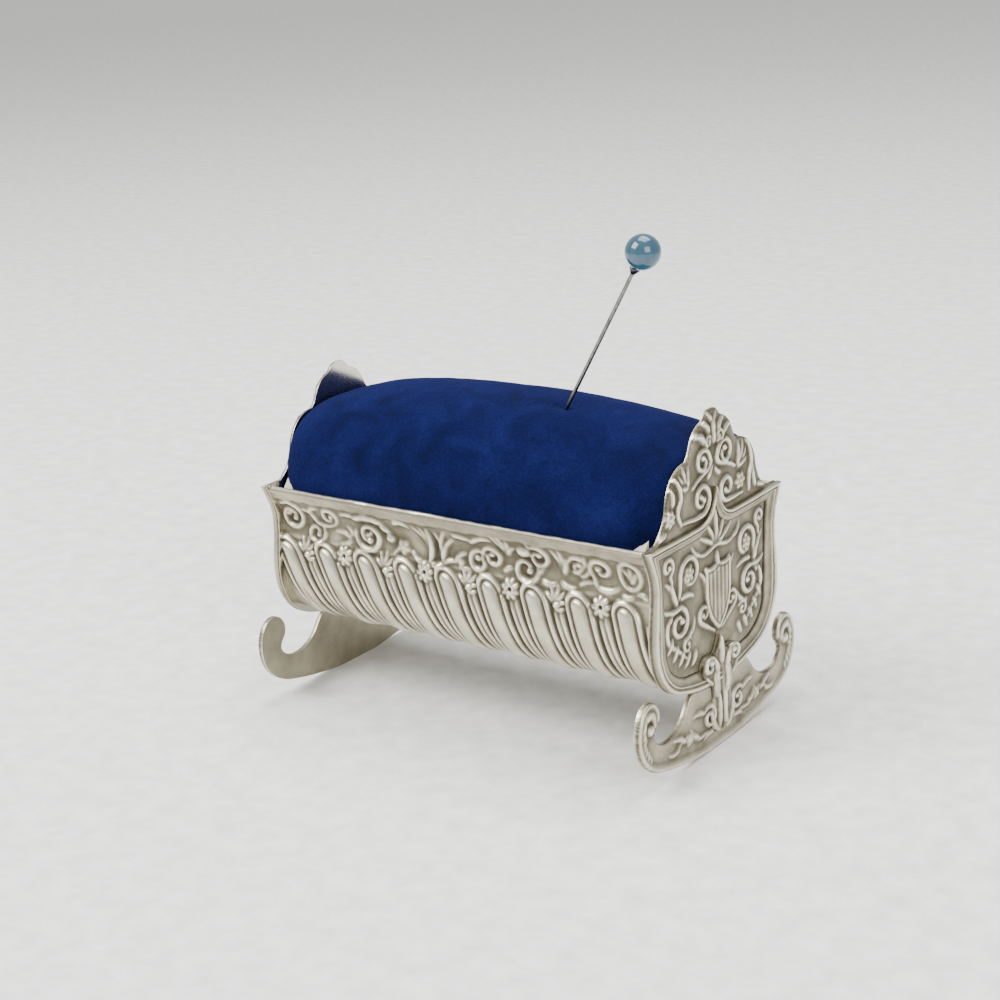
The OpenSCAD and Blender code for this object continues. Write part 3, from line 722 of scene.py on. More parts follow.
def nearest_on(outline, points):
    """The nearest point of a closed outline to each point"""
    closed = np.vstack([outline, outline[:1]])
    best = np.full(len(points), 1e9)
    result = points.copy()
    for a, b in zip(closed[:-1], closed[1:]):
        way = b - a
        run = np.clip(((points - a) @ way) / max(way @ way, 1e-12), 0, 1)
        place = a + run[:, None] * way
        gap = np.hypot(*(points - place).T)
        closer = gap < best
        best[closer] = gap[closer]
        result[closer] = place[closer]
    return result


def chained(edges):
    """Closed loops from directed edges"""
    after = {}
    for a, b in edges:
        after.setdefault(a, []).append(b)
    loops = []
    while after:
        start = next(iter(after))
        loop, at = [], start
        while at in after:
            loop.append(at)
            step = after[at].pop()
            if not after[at]:
                del after[at]
            at = step
        loops.append(loop)
    return loops


def casting(relief, outline, front, back, rounding=0.3):
    """A plate with relief on its outer side and a flat back, cut to an outline in the Y and Z plane.
    Returns points, faces, flat marks, kinds and hollows."""
    middle_u = (relief.u[:-1, :-1] + relief.u[1:, 1:]) / 2
    middle_v = (relief.v[:-1, :-1] + relief.v[1:, 1:]) / 2
    kept = inside(outline, middle_u, middle_v)
    depth = depth_inside(relief, outline, rounding)
    drop = rounding - np.sqrt(np.clip(rounding**2 - (rounding - depth)**2, 0, None))
    hollow = hollowness(relief.h - 0.5 * drop, relief.across[1] - relief.across[0])
    number = np.arange(relief.u.size).reshape(relief.u.shape)
    i, j = np.nonzero(kept)
    quads = np.stack([number[i, j], number[i + 1, j], number[i + 1, j + 1], number[i, j + 1]], 1)
    directed = np.concatenate([quads[:, [k, (k + 1) % 4]] for k in range(4)])
    keys = directed[:, 0].astype(np.int64) * number.size + directed[:, 1]
    reverse = directed[:, 1].astype(np.int64) * number.size + directed[:, 0]
    rim = directed[~np.isin(keys, reverse)]
    used, quads = np.unique(quads, return_inverse=True)
    quads = quads.reshape(-1, 4)
    rim = np.searchsorted(used, rim)
    place = np.stack([relief.u.ravel()[used], relief.v.ravel()[used]], 1)
    edge = np.unique(rim)
    place[edge] = nearest_on(outline, place[edge])
    rise = (relief.h - drop).ravel()[used]
    rise[edge] = np.minimum(rise[edge], relief.h.ravel()[used][edge] - rounding)
    points = np.column_stack([front + rise, place])
    total = len(points)
    behind = np.column_stack([np.full(len(edge), back), place[edge]])
    back_of = dict(zip(edge.tolist(), range(total, total + len(edge))))
    walls = [[b, a, back_of[a], back_of[b]] for a, b in rim.tolist()]
    loops = [[back_of[a] for a in reversed(loop)] for loop in chained(rim.tolist()) if len(loop) > 8]
    faces = quads.tolist() + walls + loops
    count = (len(quads), len(walls), len(loops))
    flat = np.repeat((False, True, True), count)
    kinds = np.repeat((0, 0, 1), count)
    hollows = np.concatenate([hollow.ravel()[used], np.full(len(edge), 0.3)])
    return np.vstack([points, behind]), faces, flat, kinds, hollows


def grid_lines(low, high, step):
    """Evenly spaced places from one end to the other"""
    return np.linspace(low, high, max(2, int(round((high - low) / step)) + 1))


def relief_over(outline, step):
    """A blank relief that covers an outline"""
    low, high = outline.min(0) - 0.1, outline.max(0) + 0.1
    return Relief(grid_lines(low[0], high[0], step), grid_lines(low[1], high[1], step))


# Trough

GADROON_X = -33.2                      # axis of the first gadroon, along the cradle
GADROON_PITCH = 7.93                   # distance from one axis to the next
GADROON_COUNT = 9
GADROON_TOP = 12.2                     # where a gadroon's round top has its centre, along the sheet
LEAN_LENGTH = 14.0                     # over which the gadroons' lean eases off
CHASED_REACH = 20.4                    # how far down the sheet the fine grid goes
PLAIN_GRID = 0.5                       # distance between points where nothing is chased
WIRE_SIDES = 20


def gadroon_axis(k, s):
    """Place of a gadroon's axis along the cradle, which leans more at the left end"""
    x = GADROON_X + k * GADROON_PITCH
    slope = 0.6 - 0.3 * k / (GADROON_COUNT - 1)
    return x + slope * LEAN_LENGTH * (1 - np.exp(-np.clip(s - GADROON_TOP, -3, None) / LEAN_LENGTH))


def chase_gadroons(r):
    """Slanted gadroons with a raised outline, and the ribs that run down between them"""
    fade = np.clip((31 - r.v) / 8, 0, 1)
    for k in range(GADROON_COUNT):
        across = r.u - gadroon_axis(k, r.v)
        d = np.hypot(across, np.clip(r.v - GADROON_TOP, None, 0))
        body = 0.5 * np.sqrt(np.clip(1 - (d / 2.55)**2, 0, 1))
        outline = 0.34 * np.clip(1 - ((d - 2.02) / 0.42)**2, 0, 1)
        groove = 0.22 * np.exp(-((d - 1.5) / 0.16)**2)
        lobe = 0.36 * np.sqrt(np.clip(1 - (d / 1.36)**2, 0, 1))
        r.h += fade * np.where(d < 2.6, body + outline - groove + lobe, 0)
        for shift, top in ((3.35, 12.9), (4.35, 12.4)):
            tip = np.clip((r.v - top) / 1.6, 0, 1)**0.5
            rib = 0.44 * np.clip(1 - ((across - shift) / 0.44)**2, 0, 1)**0.5
            r.h += fade * tip * np.where((r.v > top) & (np.abs(across - shift) < 0.44), rib, 0)


def chase_flowers(r, petals):
    """Buds and daisies in turn, between the tops of the gadroons"""
    for k in range(GADROON_COUNT - 1):
        x = float(gadroon_axis(k, 11.4)) + GADROON_PITCH / 2
        if k % 2:
            r.flower((x, 11.4), 1.85, petals, 0.75, turn=12 * k)
        else:
            for tip in ((-1.9, -0.9), (-0.9, -2.2), (0.5, -2.4), (1.7, -1.5), (2.1, 0.1)):
                r.leaf((x, 12.2), (x + tip[0], 11.6 + tip[1]), 0.05, 0.52, 0.62, 1)
            r.bead((x + 0.3, 12.5), 0.6, 0.7, 1.2)
            r.leaf((x, 12.9), (x + 1.9, 12.6), 0.2, 0.4, 0.5, 1)


def chase_frieze(r):
    """Scrolls, leaves and buds under the plain rim. Places are along the cradle and down the sheet."""
    r.scroll((-32.2, 6.2), 2.5, -75, 460, 0.42, 0.62, lead=(-34.0, 4.0))
    r.leaf((-33.4, 6.0), (-31.9, 4.6), 0.25, 0.5, 0.6, 2)
    r.stem([(-29.6, 4.5), (-28.0, 5.2), (-26.9, 6.6), (-25.2, 7.0), (-23.6, 6.7)], 0.36, 0.55)
    r.scroll((-24.4, 5.2), 1.7, 60, -430, 0.36, 0.6)
    r.scroll((-27.5, 8.4), 1.9, -40, 430, 0.38, 0.6)
    r.leaf((-28.6, 5.2), (-26.4, 4.1), -0.2, 0.4, 0.45, 2)
    r.leaf((-20.3, 8.3), (-23.6, 7.7), 0.15, 0.55, 0.55, 2)
    r.leaf((-20.3, 8.6), (-22.9, 9.5), -0.15, 0.5, 0.55, 2)
    r.leaf((-19.9, 8.0), (-21.2, 6.4), 0.2, 0.45, 0.5, 1)
    r.leaf((-17.6, 4.6), (-22.0, 4.6), 0.15, 0.62, 0.6, 3)
    r.scroll((-16.7, 7.3), 2.7, 190, -470, 0.48, 0.68)
    r.leaf((-19.3, 4.7), (-12.2, 5.9), -0.22, 0.95, 0.7, 4)
    r.leaf((-14.2, 5.2), (-12.2, 7.6), -0.3, 0.7, 0.72, 2)
    r.bead((-12.3, 7.0), 0.85, 0.8, 1.0)
    r.leaf((-17.6, 7.2), (-15.9, 6.0), 0.3, 0.5, 0.6, 2)
    r.leaf((-11.3, 4.4), (-8.2, 4.6), -0.35, 0.6, 0.6, 2)
    r.flower((-9.9, 8.1), 1.35, 5, 0.7, 90, "boss")
    r.stem([(-12.0, 9.7), (-11.4, 8.9), (-10.4, 8.4)], 0.22, 0.4)
    r.stem([(-8.3, 8.6), (-6.6, 10.1), (-3.8, 10.0), (-1.2, 8.9), (0.4, 8.9)], 0.45, 0.6)
    for tip, bend in (((-7.7, 4.1), 0.25), ((-6.4, 3.7), 0.2), ((-5.0, 3.7), 0.12)):
        r.leaf((-4.9, 9.8), tip, bend, 0.62, 0.7, 2)
    for tip, bend in (((-3.5, 4.2), 0.1), ((-1.4, 4.0), -0.15), ((0.1, 5.2), -0.2)):
        r.leaf((-2.3, 9.3), tip, bend, 0.6, 0.66, 2)
    r.leaf((0.0, 9.0), (2.2, 7.2), -0.2, 0.6, 0.65, 2)
    r.leaf((0.6, 9.3), (2.6, 9.6), 0.15, 0.45, 0.55, 1)
    r.bead((1.0, 8.7), 0.6, 0.65)
    r.leaf((0.0, 4.3), (4.2, 5.1), -0.1, 0.62, 0.6, 3)
    r.leaf((3.2, 5.3), (7.4, 4.1), -0.18, 0.5, 0.6, 2)
    r.scroll((4.4, 8.1), 2.0, -20, -450, 0.42, 0.64)
    r.scroll((7.0, 7.0), 1.85, 170, 470, 0.42, 0.68)
    r.leaf((8.9, 9.0), (10.7, 8.2), -0.2, 0.5, 0.55, 2)
    for tip in ((7.6, 3.0), (8.8, 2.8), (10.1, 3.2)):
        r.leaf((10.0, 6.3), tip, 0.08, 0.6, 0.66, 2)
    r.leaf((10.2, 6.0), (11.7, 4.6), -0.25, 0.5, 0.6, 2)
    r.scroll((12.9, 7.8), 2.45, -50, 430, 0.46, 0.66)
    r.bead((13.1, 4.8), 1.0, 0.85, 1.35)
    r.scroll((15.5, 5.5), 1.95, -120, 420, 0.42, 0.64, lead=(13.9, 3.5))
    r.leaf((15.6, 8.9), (18.4, 9.0), 0.25, 0.5, 0.55, 2)
    r.leaf((15.3, 8.5), (16.6, 7.2), -0.2, 0.4, 0.5, 1)
    for tip in ((18.0, 3.6), (19.2, 3.4), (20.3, 4.4)):
        r.leaf((19.6, 7.6), tip, 0.12, 0.6, 0.66, 1)
    r.scroll((22.6, 6.0), 2.0, 200, 440, 0.42, 0.66)
    r.leaf((21.0, 7.0), (23.7, 3.6), 0.3, 0.6, 0.6, 2)
    r.leaf((19.0, 8.7), (22.0, 9.2), 0.2, 0.5, 0.55, 2)
    r.leaf((22.2, 8.9), (24.9, 8.2), -0.2, 0.5, 0.6, 2)
    r.scroll((26.3, 5.6), 1.9, 150, 400, 0.42, 0.62, lead=(25.2, 8.4))
    r.leaf((25.4, 8.6), (29.0, 8.0), 0.2, 0.55, 0.6, 3)
    r.ring((31.1, 5.7), 1.75, 2.25, 0.36, 0.55)
    for tip in ((29.9, 4.5), (31.0, 4.0), (32.2, 4.7)):
        r.leaf((31.1, 7.2), tip, 0.1, 0.5, 0.62, 2)
    r.leaf((29.4, 9.0), (31.5, 8.7), 0.3, 0.5, 0.55, 2)
    r.leaf((33.6, 9.2), (31.8, 8.7), 0.3, 0.5, 0.55, 2)


def stamped_side(c, petals):
    """Points, faces and hollows of the front side of the trough"""
    line = panel_line(c, PANEL_STEPS)
    out = left_of(line)
    along = np.concatenate([[0], np.cumsum(np.hypot(*np.diff(line, axis=0).T))])
    total = along[-1]
    rows = np.concatenate([grid_lines(0, CHASED_REACH, c.grain),
                           grid_lines(CHASED_REACH + PLAIN_GRID, total, PLAIN_GRID)])
    columns = grid_lines(-c.inner_x, c.inner_x, c.grain)
    r = Relief(columns, rows)
    wander = 0.12 * np.sin(columns * 0.9) + 0.1 * np.sin(columns * 2.3 + 1)
    chase_frieze(r)
    r.soften()
    r.h += 0.17 * np.clip((3.35 + wander[:, None] - r.v) / 0.4, 0, 1)
    r.h += 0.1 * np.exp(-((r.v - 9.75) / 0.3)**2)
    chase_gadroons(r)
    chase_flowers(r, petals)
    r.soften()
    hollow = hollowness(r.h, c.grain)
    hollow += 0.12 * np.clip(1 - np.abs(r.v - 6.5) / 3.2, 0, 1)
    place = np.stack([np.interp(rows, along, line[:, k]) for k in (0, 1)], 1)
    normal = np.stack([np.interp(rows, along, out[:, k]) for k in (0, 1)], 1)
    normal[-1] = (0, -1)
    spot = place[None] + r.h[..., None] * normal[None]
    spot[:, -1, 0] = 0
    points = np.stack([r.u, -spot[..., 0], spot[..., 1]], -1).reshape(-1, 3)
    number = np.arange(r.u.size).reshape(r.u.shape)
    quads = np.stack([number[:-1, :-1], number[1:, :-1], number[1:, 1:], number[:-1, 1:]], -1)
    quads = quads.reshape(-1, 4)
    inner = place - c.sheet_t * normal
    inner[0] = (inner[0][0], place[0][1])
    inner[-1] = (0, place[-1][1] + c.sheet_t)
    n, m = len(rows), len(points)
    ends = [np.column_stack([np.full(n, x), -inner[:, 0], inner[:, 1]]) for x in (columns[0], columns[-1])]
    last = len(columns) - 1
    lining = [[m + j, m + j + 1, m + n + j + 1, m + n + j] for j in range(n - 1)]
    sides = [[int(number[0, j]), int(number[0, j + 1]), m + j + 1, m + j] for j in range(n - 1)]
    sides += [[int(number[last, j + 1]), int(number[last, j]), m + n + j, m + n + j + 1]
              for j in range(n - 1)]
    lip = number[:, 0].tolist() + [m + n, m]
    seam = number[::-1, n - 1].tolist() + [m + n - 1, m + 2 * n - 1]
    faces = quads[:, ::-1].tolist() + lining + sides + [lip, seam]
    flat = np.arange(len(faces)) >= len(quads)
    return np.vstack([points] + ends), faces, flat, np.concatenate([hollow.ravel(), np.full(2 * n, 0.5)])


class PINCUSHION_OT_trough(bpy.types.Operator):
    """Stamp both sides of the trough and lay the wire along their rims"""
    bl_idname = "pincushion.trough"
    bl_label = "Trough"

    def execute(self, context):
        c, finish = Sizes(context), context.scene.cradle_finish
        silver = silver_of("stamped_sterling_silver", finish)
        points, faces, flat, hollow = stamped_side(c, finish.petals)
        front = add_piece("front_side", points, faces, [silver], "cradle", "front_panel", "stamped_silver",
                          flat, None, hollow)
        copy_piece(front, "back_side", "back_panel")
        wire = self.rim(c, silver_of("cast_sterling_silver", finish))
        copy_piece(wire, "back_rim", "back_rim_wire")
        return {"FINISHED"}

    def rim(self, c, silver):
        """Half-round wire, a little bent and worn from use, with painted shade on its underside and on its
        inner half
        """
        y = -(panel_line(c, PANEL_STEPS)[0][0] - c.sheet_t / 2)
        z = c.rim_z - c.wire_r
        stations = grid_lines(-c.inner_x, c.inner_x, 0.5)
        angles = np.linspace(0, 2 * math.pi, WIRE_SIDES, endpoint=False)
        rings = []
        for x in stations:
            sway = 0.1 * noise.noise((x * 0.16, 3.1, 0)) + 0.05 * noise.noise((x * 0.6, 1.7, 5))
            lift = 0.14 * noise.noise((x * 0.12, 9.2, 2)) + 0.06 * noise.noise((x * 0.7, 4.4, 1))
            thick = c.wire_r * (1 + 0.12 * noise.noise((x * 0.4, 7.7, 3)))
            ring_z = np.maximum(np.sin(angles) * thick, -WIRE_FLAT)
            ring_y = y + sway + np.cos(angles) * thick * 1.05
            rings.append(np.column_stack([np.full(WIRE_SIDES, x), ring_y, z + lift + ring_z]))
        points = np.vstack(rings)
        faces = tube_faces(len(stations), WIRE_SIDES)
        # painted shade: the wire is darker towards its underside and on its inner half next to the pad, and
        # lighter on its top
        height = points[:, 2] - z
        hollow = 0.35 - 0.3 * height + 0.15 * (np.cos(np.tile(angles, len(stations))) > 0)
        return add_piece("front_rim", points, faces, [silver], "cradle", "front_rim_wire", "cast_silver",
                         None, None, hollow)


def tube_faces(rings, sides):
    """Faces of rings of points joined into a tube with closed ends"""
    faces = []
    for i in range(rings - 1):
        for j in range(sides):
            k = (j + 1) % sides
            faces.append([i * sides + j, i * sides + k, (i + 1) * sides + k, (i + 1) * sides + j])
    return faces + [list(range(sides))[::-1], [(rings - 1) * sides + j for j in range(sides)]]


# Ends

CAST_DEPTH = 0.92                      # share of its full height to which the ends' relief is worn


def cast_shield(r):
    """Scrolls and flowers round the blank escutcheon. Places are across the cradle and up."""
    r.stem([(-8.6, 16.6), (-11.0, 18.6), (-13.6, 20.6), (-13.9, 23.0), (-12.2, 25.2)], 0.42, 0.5)
    r.scroll((-10.6, 22.6), 2.7, 160, -500, 0.46, 0.62)
    r.scroll((-7.4, 29.4), 2.7, 190, -470, 0.42, 0.6, lead=(-11.2, 24.8))
    r.flower((-7.5, 29.2), 1.35, 5, 0.6, 20, "boss")
    r.leaf((-11.2, 25.0), (-14.2, 29.8), -0.15, 0.8, 0.6, 3)
    r.leaf((-10.9, 25.4), (-12.4, 30.6), 0.12, 0.6, 0.55, 2)
    r.leaf((-9.6, 25.2), (-14.9, 25.8), 0.12, 0.7, 0.55, 3)
    r.scroll((-13.3, 32.0), 1.5, -60, 400, 0.34, 0.55, lead=(-12.2, 29.4))
    r.leaf((-10.2, 26.2), (-6.2, 25.4), 0.15, 0.65, 0.55, 3)
    r.leaf((-9.6, 19.6), (-6.2, 22.4), -0.25, 0.65, 0.55, 3)
    for k, (y, z) in enumerate(((-13.6, 19.6), (-12.2, 18.0), (-10.6, 16.8), (-8.9, 16.0), (-7.0, 15.6))):
        r.leaf((y + 1.0, z + 1.6), (y - 0.3, z - 0.7), 0.1, 0.62, 0.55, 2)
    r.scroll((-8.4, 18.6), 1.3, 30, 380, 0.32, 0.5)
    r.stem([(9.0, 16.8), (11.0, 18.8), (13.2, 20.8), (13.3, 23.2), (11.7, 25.3)], 0.42, 0.5)
    r.scroll((9.9, 22.8), 2.5, 20, 500, 0.46, 0.62)
    r.scroll((9.0, 29.2), 2.6, -20, 470, 0.42, 0.6, lead=(11.6, 24.8))
    r.flower((9.0, 28.9), 1.35, 5, 0.6, 50, "boss")
    r.leaf((11.4, 25.0), (14.2, 29.6), 0.15, 0.75, 0.6, 3)
    r.leaf((10.6, 25.2), (14.6, 25.6), -0.12, 0.65, 0.55, 3)
    r.scroll((13.2, 32.0), 1.3, 240, -400, 0.34, 0.55, lead=(13.0, 29.4))
    r.leaf((10.4, 26.2), (6.4, 25.8), -0.15, 0.6, 0.55, 3)
    r.leaf((9.4, 20.0), (6.2, 22.6), 0.25, 0.6, 0.55, 3)
    for k, (y, z) in enumerate(((13.4, 19.8), (12.2, 18.2), (10.8, 17.0), (9.2, 16.2), (7.4, 15.8))):
        r.leaf((y - 1.0, z + 1.6), (y + 0.3, z - 0.7), -0.1, 0.62, 0.55, 2)
    r.scroll((7.8, 19.0), 1.2, 150, -380, 0.32, 0.5)
    for tip, width in (((-4.2, 33.6), 0.6), ((-2.2, 35.2), 0.62), ((0.3, 37.2), 0.8), ((2.8, 35.2), 0.62),
                       ((4.9, 33.6), 0.6)):
        r.leaf((0.3, 31.4), tip, 0.0, width, 0.6, 2)
    r.stem([(-5.6, 31.4), (-3.0, 30.8), (0.3, 31.4), (3.6, 30.8), (6.2, 31.4)], 0.36, 0.45)
    r.leaf((-4.4, 31.2), (-6.6, 33.2), 0.2, 0.5, 0.5, 2)
    r.leaf((5.0, 31.2), (7.2, 33.2), -0.2, 0.5, 0.5, 2)


def cast_escutcheon(r):
    """A blank, fluted escutcheon in a frame of scrolls"""
    r.scroll((-3.6, 21.8), 1.5, 250, -420, 0.4, 0.55, lead=(-0.6, 18.2))
    r.scroll((4.4, 21.8), 1.5, -70, 420, 0.4, 0.55, lead=(1.6, 18.2))
    r.leaf((-3.0, 24.6), (-4.6, 28.4), -0.2, 0.6, 0.55, 3)
    r.leaf((3.8, 24.6), (5.4, 28.4), 0.2, 0.6, 0.55, 3)
    half = np.vstack([
        curve([(0, 28.6), (1.2, 28.0), (2.4, 27.8), (3.4, 28.5)], 8),
        curve([(3.4, 28.5), (3.0, 25.5), (4.4, 21.8), (0, 18.4)], 12), [(0, 18.4)]])
    frame_line = both_sides(half) + (0.5, 0)
    plate = inside(frame_line, r.u, r.v)
    flutes = 0.05 * np.cos((r.u - 0.5) * 2 * math.pi / 1.15)
    r.h = np.where(plate, 0.42 + flutes, r.h)
    closed = np.vstack([frame_line, frame_line[:1]])
    r.stroke(closed, (0.3, 0.3), 0.62, ridge, keep=0)
    r.leaf((0.5, 28.2), (0.5, 30.6), 0.0, 0.8, 0.6, 2)


def cast_pediment(r):
    """Scrolls, shells and curling leaves over the shield"""
    r.scroll((-3.6, 39.4), 2.5, -100, 440, 0.44, 0.62, lead=(-8.6, 37.2))
    r.scroll((3.7, 39.3), 2.1, 280, -420, 0.42, 0.6, lead=(8.4, 37.2))
    r.leaf((-4.4, 40.0), (-2.9, 38.4), 0.2, 0.5, 0.6, 2)
    r.scroll((-3.1, 44.8), 1.9, 20, 420, 0.4, 0.62, lead=(-6.0, 41.6))
    r.scroll((3.2, 44.8), 2.1, 160, -420, 0.42, 0.62, lead=(6.2, 41.8))
    r.leaf((-1.6, 41.8), (0.0, 43.6), 0.2, 0.6, 0.6, 2)
    r.leaf((2.0, 42.0), (0.4, 43.4), 0.2, 0.5, 0.6, 2)
    for tip in ((-9.8, 44.6), (-8.6, 45.6), (-7.0, 45.4), (-10.2, 43.2)):
        r.leaf((-7.4, 42.0), tip, 0.08, 0.6, 0.6, 2)
    for tip in ((9.6, 44.0), (8.6, 45.2), (7.2, 45.4), (9.8, 42.4)):
        r.leaf((6.8, 41.6), tip, -0.08, 0.62, 0.6, 2)
    r.stem([(-9.2, 37.0), (-10.4, 39.2), (-9.4, 41.2), (-10.4, 43.8), (-12.2, 44.6)], 0.4, 0.55)
    r.stem([(10.4, 36.9), (10.2, 39.0), (11.0, 41.2), (10.6, 43.4), (9.6, 45.0)], 0.4, 0.55)
    r.flower((-12.4, 38.9), 1.5, 7, 0.6, 10, "boss")
    r.flower((7.6, 39.2), 1.5, 6, 0.6, 0, "boss")
    r.leaf((-11.6, 40.4), (-12.4, 43.4), -0.2, 0.6, 0.55, 3)
    r.leaf((12.4, 37.0), (11.6, 41.0), 0.12, 0.6, 0.55, 3)
    r.leaf((-13.4, 37.2), (-15.6, 36.6), 0.1, 0.5, 0.5, 2)
    r.leaf((12.9, 37.4), (15.4, 36.5), -0.1, 0.5, 0.5, 2)
    for base, tip, bend in (((-1.2, 46.6), (-3.6, 50.6), -0.3), ((-0.6, 46.8), (-1.6, 51.6), -0.25),
                            ((0.4, 46.8), (1.0, 51.4), 0.25), ((1.4, 46.6), (3.4, 50.4), 0.3),
                            ((2.2, 46.8), (5.2, 48.6), 0.25), ((-2.2, 46.8), (-5.6, 48.8), -0.25)):
        r.leaf(base, tip, bend, 0.85, 0.66, 3)
    r.scroll((-1.6, 47.4), 1.0, 0, 380, 0.3, 0.6)
    r.scroll((1.8, 47.6), 1.0, 180, -380, 0.3, 0.6)


class PINCUSHION_OT_ends(bpy.types.Operator):
    """Cast both end plates and the moulded borders that are laid on them"""
    bl_idname = "pincushion.ends"
    bl_label = "Ends"

    def execute(self, context):
        c, finish = Sizes(context), context.scene.cradle_finish
        silver = silver_of("cast_sterling_silver", finish)
        polish = material_of("polished_sterling_silver", polished_silver, finish)
        outline = both_sides(np.vstack([pediment_side(c, 12), shield_side(c, 18)]))
        r = relief_over(outline, c.grain)
        cast_shield(r)
        cast_escutcheon(r)
        cast_pediment(r)
        r.soften()
        r.h *= CAST_DEPTH
        points, faces, flat, kinds, hollow = casting(r, outline, c.plate_x, c.inner_x)
        hollow = np.clip(hollow + 0.1 * (hollow > 0.45), 0, 1)
        right = add_piece("right_end", points, faces, [silver, polish], "cradle", "right_end_plate",
                          "cast_silver", flat, kinds, hollow)
        copy_piece(right, "left_end", "left_end_plate")
        border = self.border(c, silver)
        copy_piece(border, "left_border", "left_end_border")
        return {"FINISHED"}

    def border(self, c, silver):
        """The wide moulded border, dented a little along its edges"""
        outer = both_sides(np.vstack([shield_top(c, 16), shield_side(c, 18)]))
        inner = both_sides(np.vstack([field_top(c, 16), field_side(c, 18)]))
        height = c.front_x - c.plate_x
        section = np.array([(0, 0), (0, 0.62), (0.015, 0.86), (0.05, 0.98), (0.09, 1), (0.18, 1),
                            (0.22, 0.95), (0.245, 0.8), (0.27, 0.74), (0.32, 0.73), (0.345, 0.8),
                            (0.37, 0.9), (0.4, 0.93), (0.43, 0.9), (0.46, 0.78), (0.5, 0.66),
                            (0.62, 0.52), (0.8, 0.34), (0.93, 0.2), (0.97, 0.24), (1, 0.16), (1, 0)])
        hollow_at = np.interp(section[:, 0], [0, 0.05, 0.2, 0.25, 0.32, 0.4, 0.47, 0.8, 0.95, 1],
                              [0.5, 0.2, 0.3, 0.68, 0.72, 0.22, 0.62, 0.5, 0.8, 0.9])
        points, hollow = [], []
        for a, b in zip(outer, inner):
            for share, level in section:
                y, z = a + share * (b - a)
                dent = 0.05 * noise.noise((y * 0.8, z * 0.8, 3.3))
                dent += 0.03 * noise.noise((y * 2.6, z * 2.6, 8.1))
                x = c.plate_x + level * height + dent * (0.2 < level)
                points.append((x, y * (1 + 0.0012 * dent), z))
            hollow.extend(hollow_at)
        count, rings = len(outer), len(section)
        faces = []
        for i in range(count):
            here, there = i * rings, ((i + 1) % count) * rings
            for j in range(rings):
                k = (j + 1) % rings
                faces.append([here + j, there + j, there + k, here + k])
        return add_piece("right_border", points, faces, [silver], "cradle", "right_end_border",
                         "cast_silver", None, None, hollow)


# Rockers

ROCKER_WEB = 0.8                       # thickness of a rocker under its ornament
ROCKER_STEPS = 10                      # points on each curve of its outline
STEM_GRID = 0.11                       # distance between the points that the stem is cut from
STEM_PROUD = 0.1                       # how far the stem stands in front of the border


def cast_rocker(r, c):
    """Spirals and sprays on a rocker, with a bead along its rolling edge and fluted curls"""
    for side in (-1, 1):
        y = 4.2 * side + 0.6
        r.scroll((y, 5.6), 1.9, 90 - 60 * side, 460 * side, 0.4, 0.6)
        r.stem([(y + 0.4 * side, 3.4), (y + 3.4 * side, 3.4), (y + 6.4 * side, 4.9), (y + 9.0 * side, 4.2)],
               0.3, 0.45)
        r.leaf((y + 1.6 * side, 6.6), (y + 4.6 * side, 7.0), 0.2 * side, 0.55, 0.55, 3)
        r.leaf((y + 3.2 * side, 3.8), (y + 5.4 * side, 5.6), -0.2 * side, 0.55, 0.55, 3)
        r.flower((y + 5.8 * side, 4.2), 1.1, 5, 0.55, 30, "boss")
        r.leaf((y + 7.0 * side, 4.2), (y + 10.4 * side, 5.6), 0.15 * side, 0.6, 0.55, 3)
        r.leaf((y + 8.6 * side, 4.0), (y + 11.6 * side, 3.9), -0.15 * side, 0.5, 0.5, 2)
        r.leaf((y - 1.2 * side, 3.0), (y + 1.6 * side, 2.4), 0.15 * side, 0.45, 0.5, 2)
        curl = c.rocker_w / 2 - 3.2
        r.scroll((curl * side, c.curl_z - 3.4), 2.1, 90 - 150 * side, 330 * side, 0.7, 0.5, 0.35)
        for k in range(7):
            z = 5.0 + 1.0 * k
            y_out = (c.rocker_w / 2 - 0.5 - max(0, 7.5 - z) * 0.55) * side
            r.leaf((y_out - 0.2 * side, z - 1.2), (y_out - 1.3 * side, z + 1.1), 0.2 * side, 0.5, 0.5, 1)


def cast_stem(r, c):
    """The fluted acanthus stem, whose leaves curl outwards over the border"""
    top = c.stem_z
    for side in (-1, 1):
        r.leaf((0.9 * side, 2.4), (3.0 * side, 6.4), -0.2 * side, 0.8, 0.42, 3)
        r.leaf((1.1 * side, 3.0), (1.5 * side, 9.6), 0.1 * side, 0.75, 0.5, 3)
        r.leaf((1.3 * side, 8.0), (1.7 * side, 13.2), -0.12 * side, 0.8, 0.55, 2)
        r.scroll((3.7 * side, top - 3.9), 1.35, 90 + 60 * side, -380 * side, 0.5, 0.55, 0.4,
                 lead=(1.3 * side, top - 8.6))
        r.leaf((1.4 * side, top - 5.4), (2.7 * side, top - 2.9), 0.1 * side, 0.7, 0.5, 2)
        r.leaf((2.8 * side, top - 7.0), (4.4 * side, top - 5.4), -0.2 * side, 0.6, 0.5, 2)
    r.leaf((0.0, top - 4.6), (0.0, top - 0.1), 0.0, 0.9, 0.5, 2)
    groove = np.exp(-(r.u / 0.38)**2) * np.clip((top - 5.0 - r.v) / 1.5, 0, 1)
    r.h -= 0.42 * (groove * np.clip((r.v - 2.2) / 1.0, 0, 1))


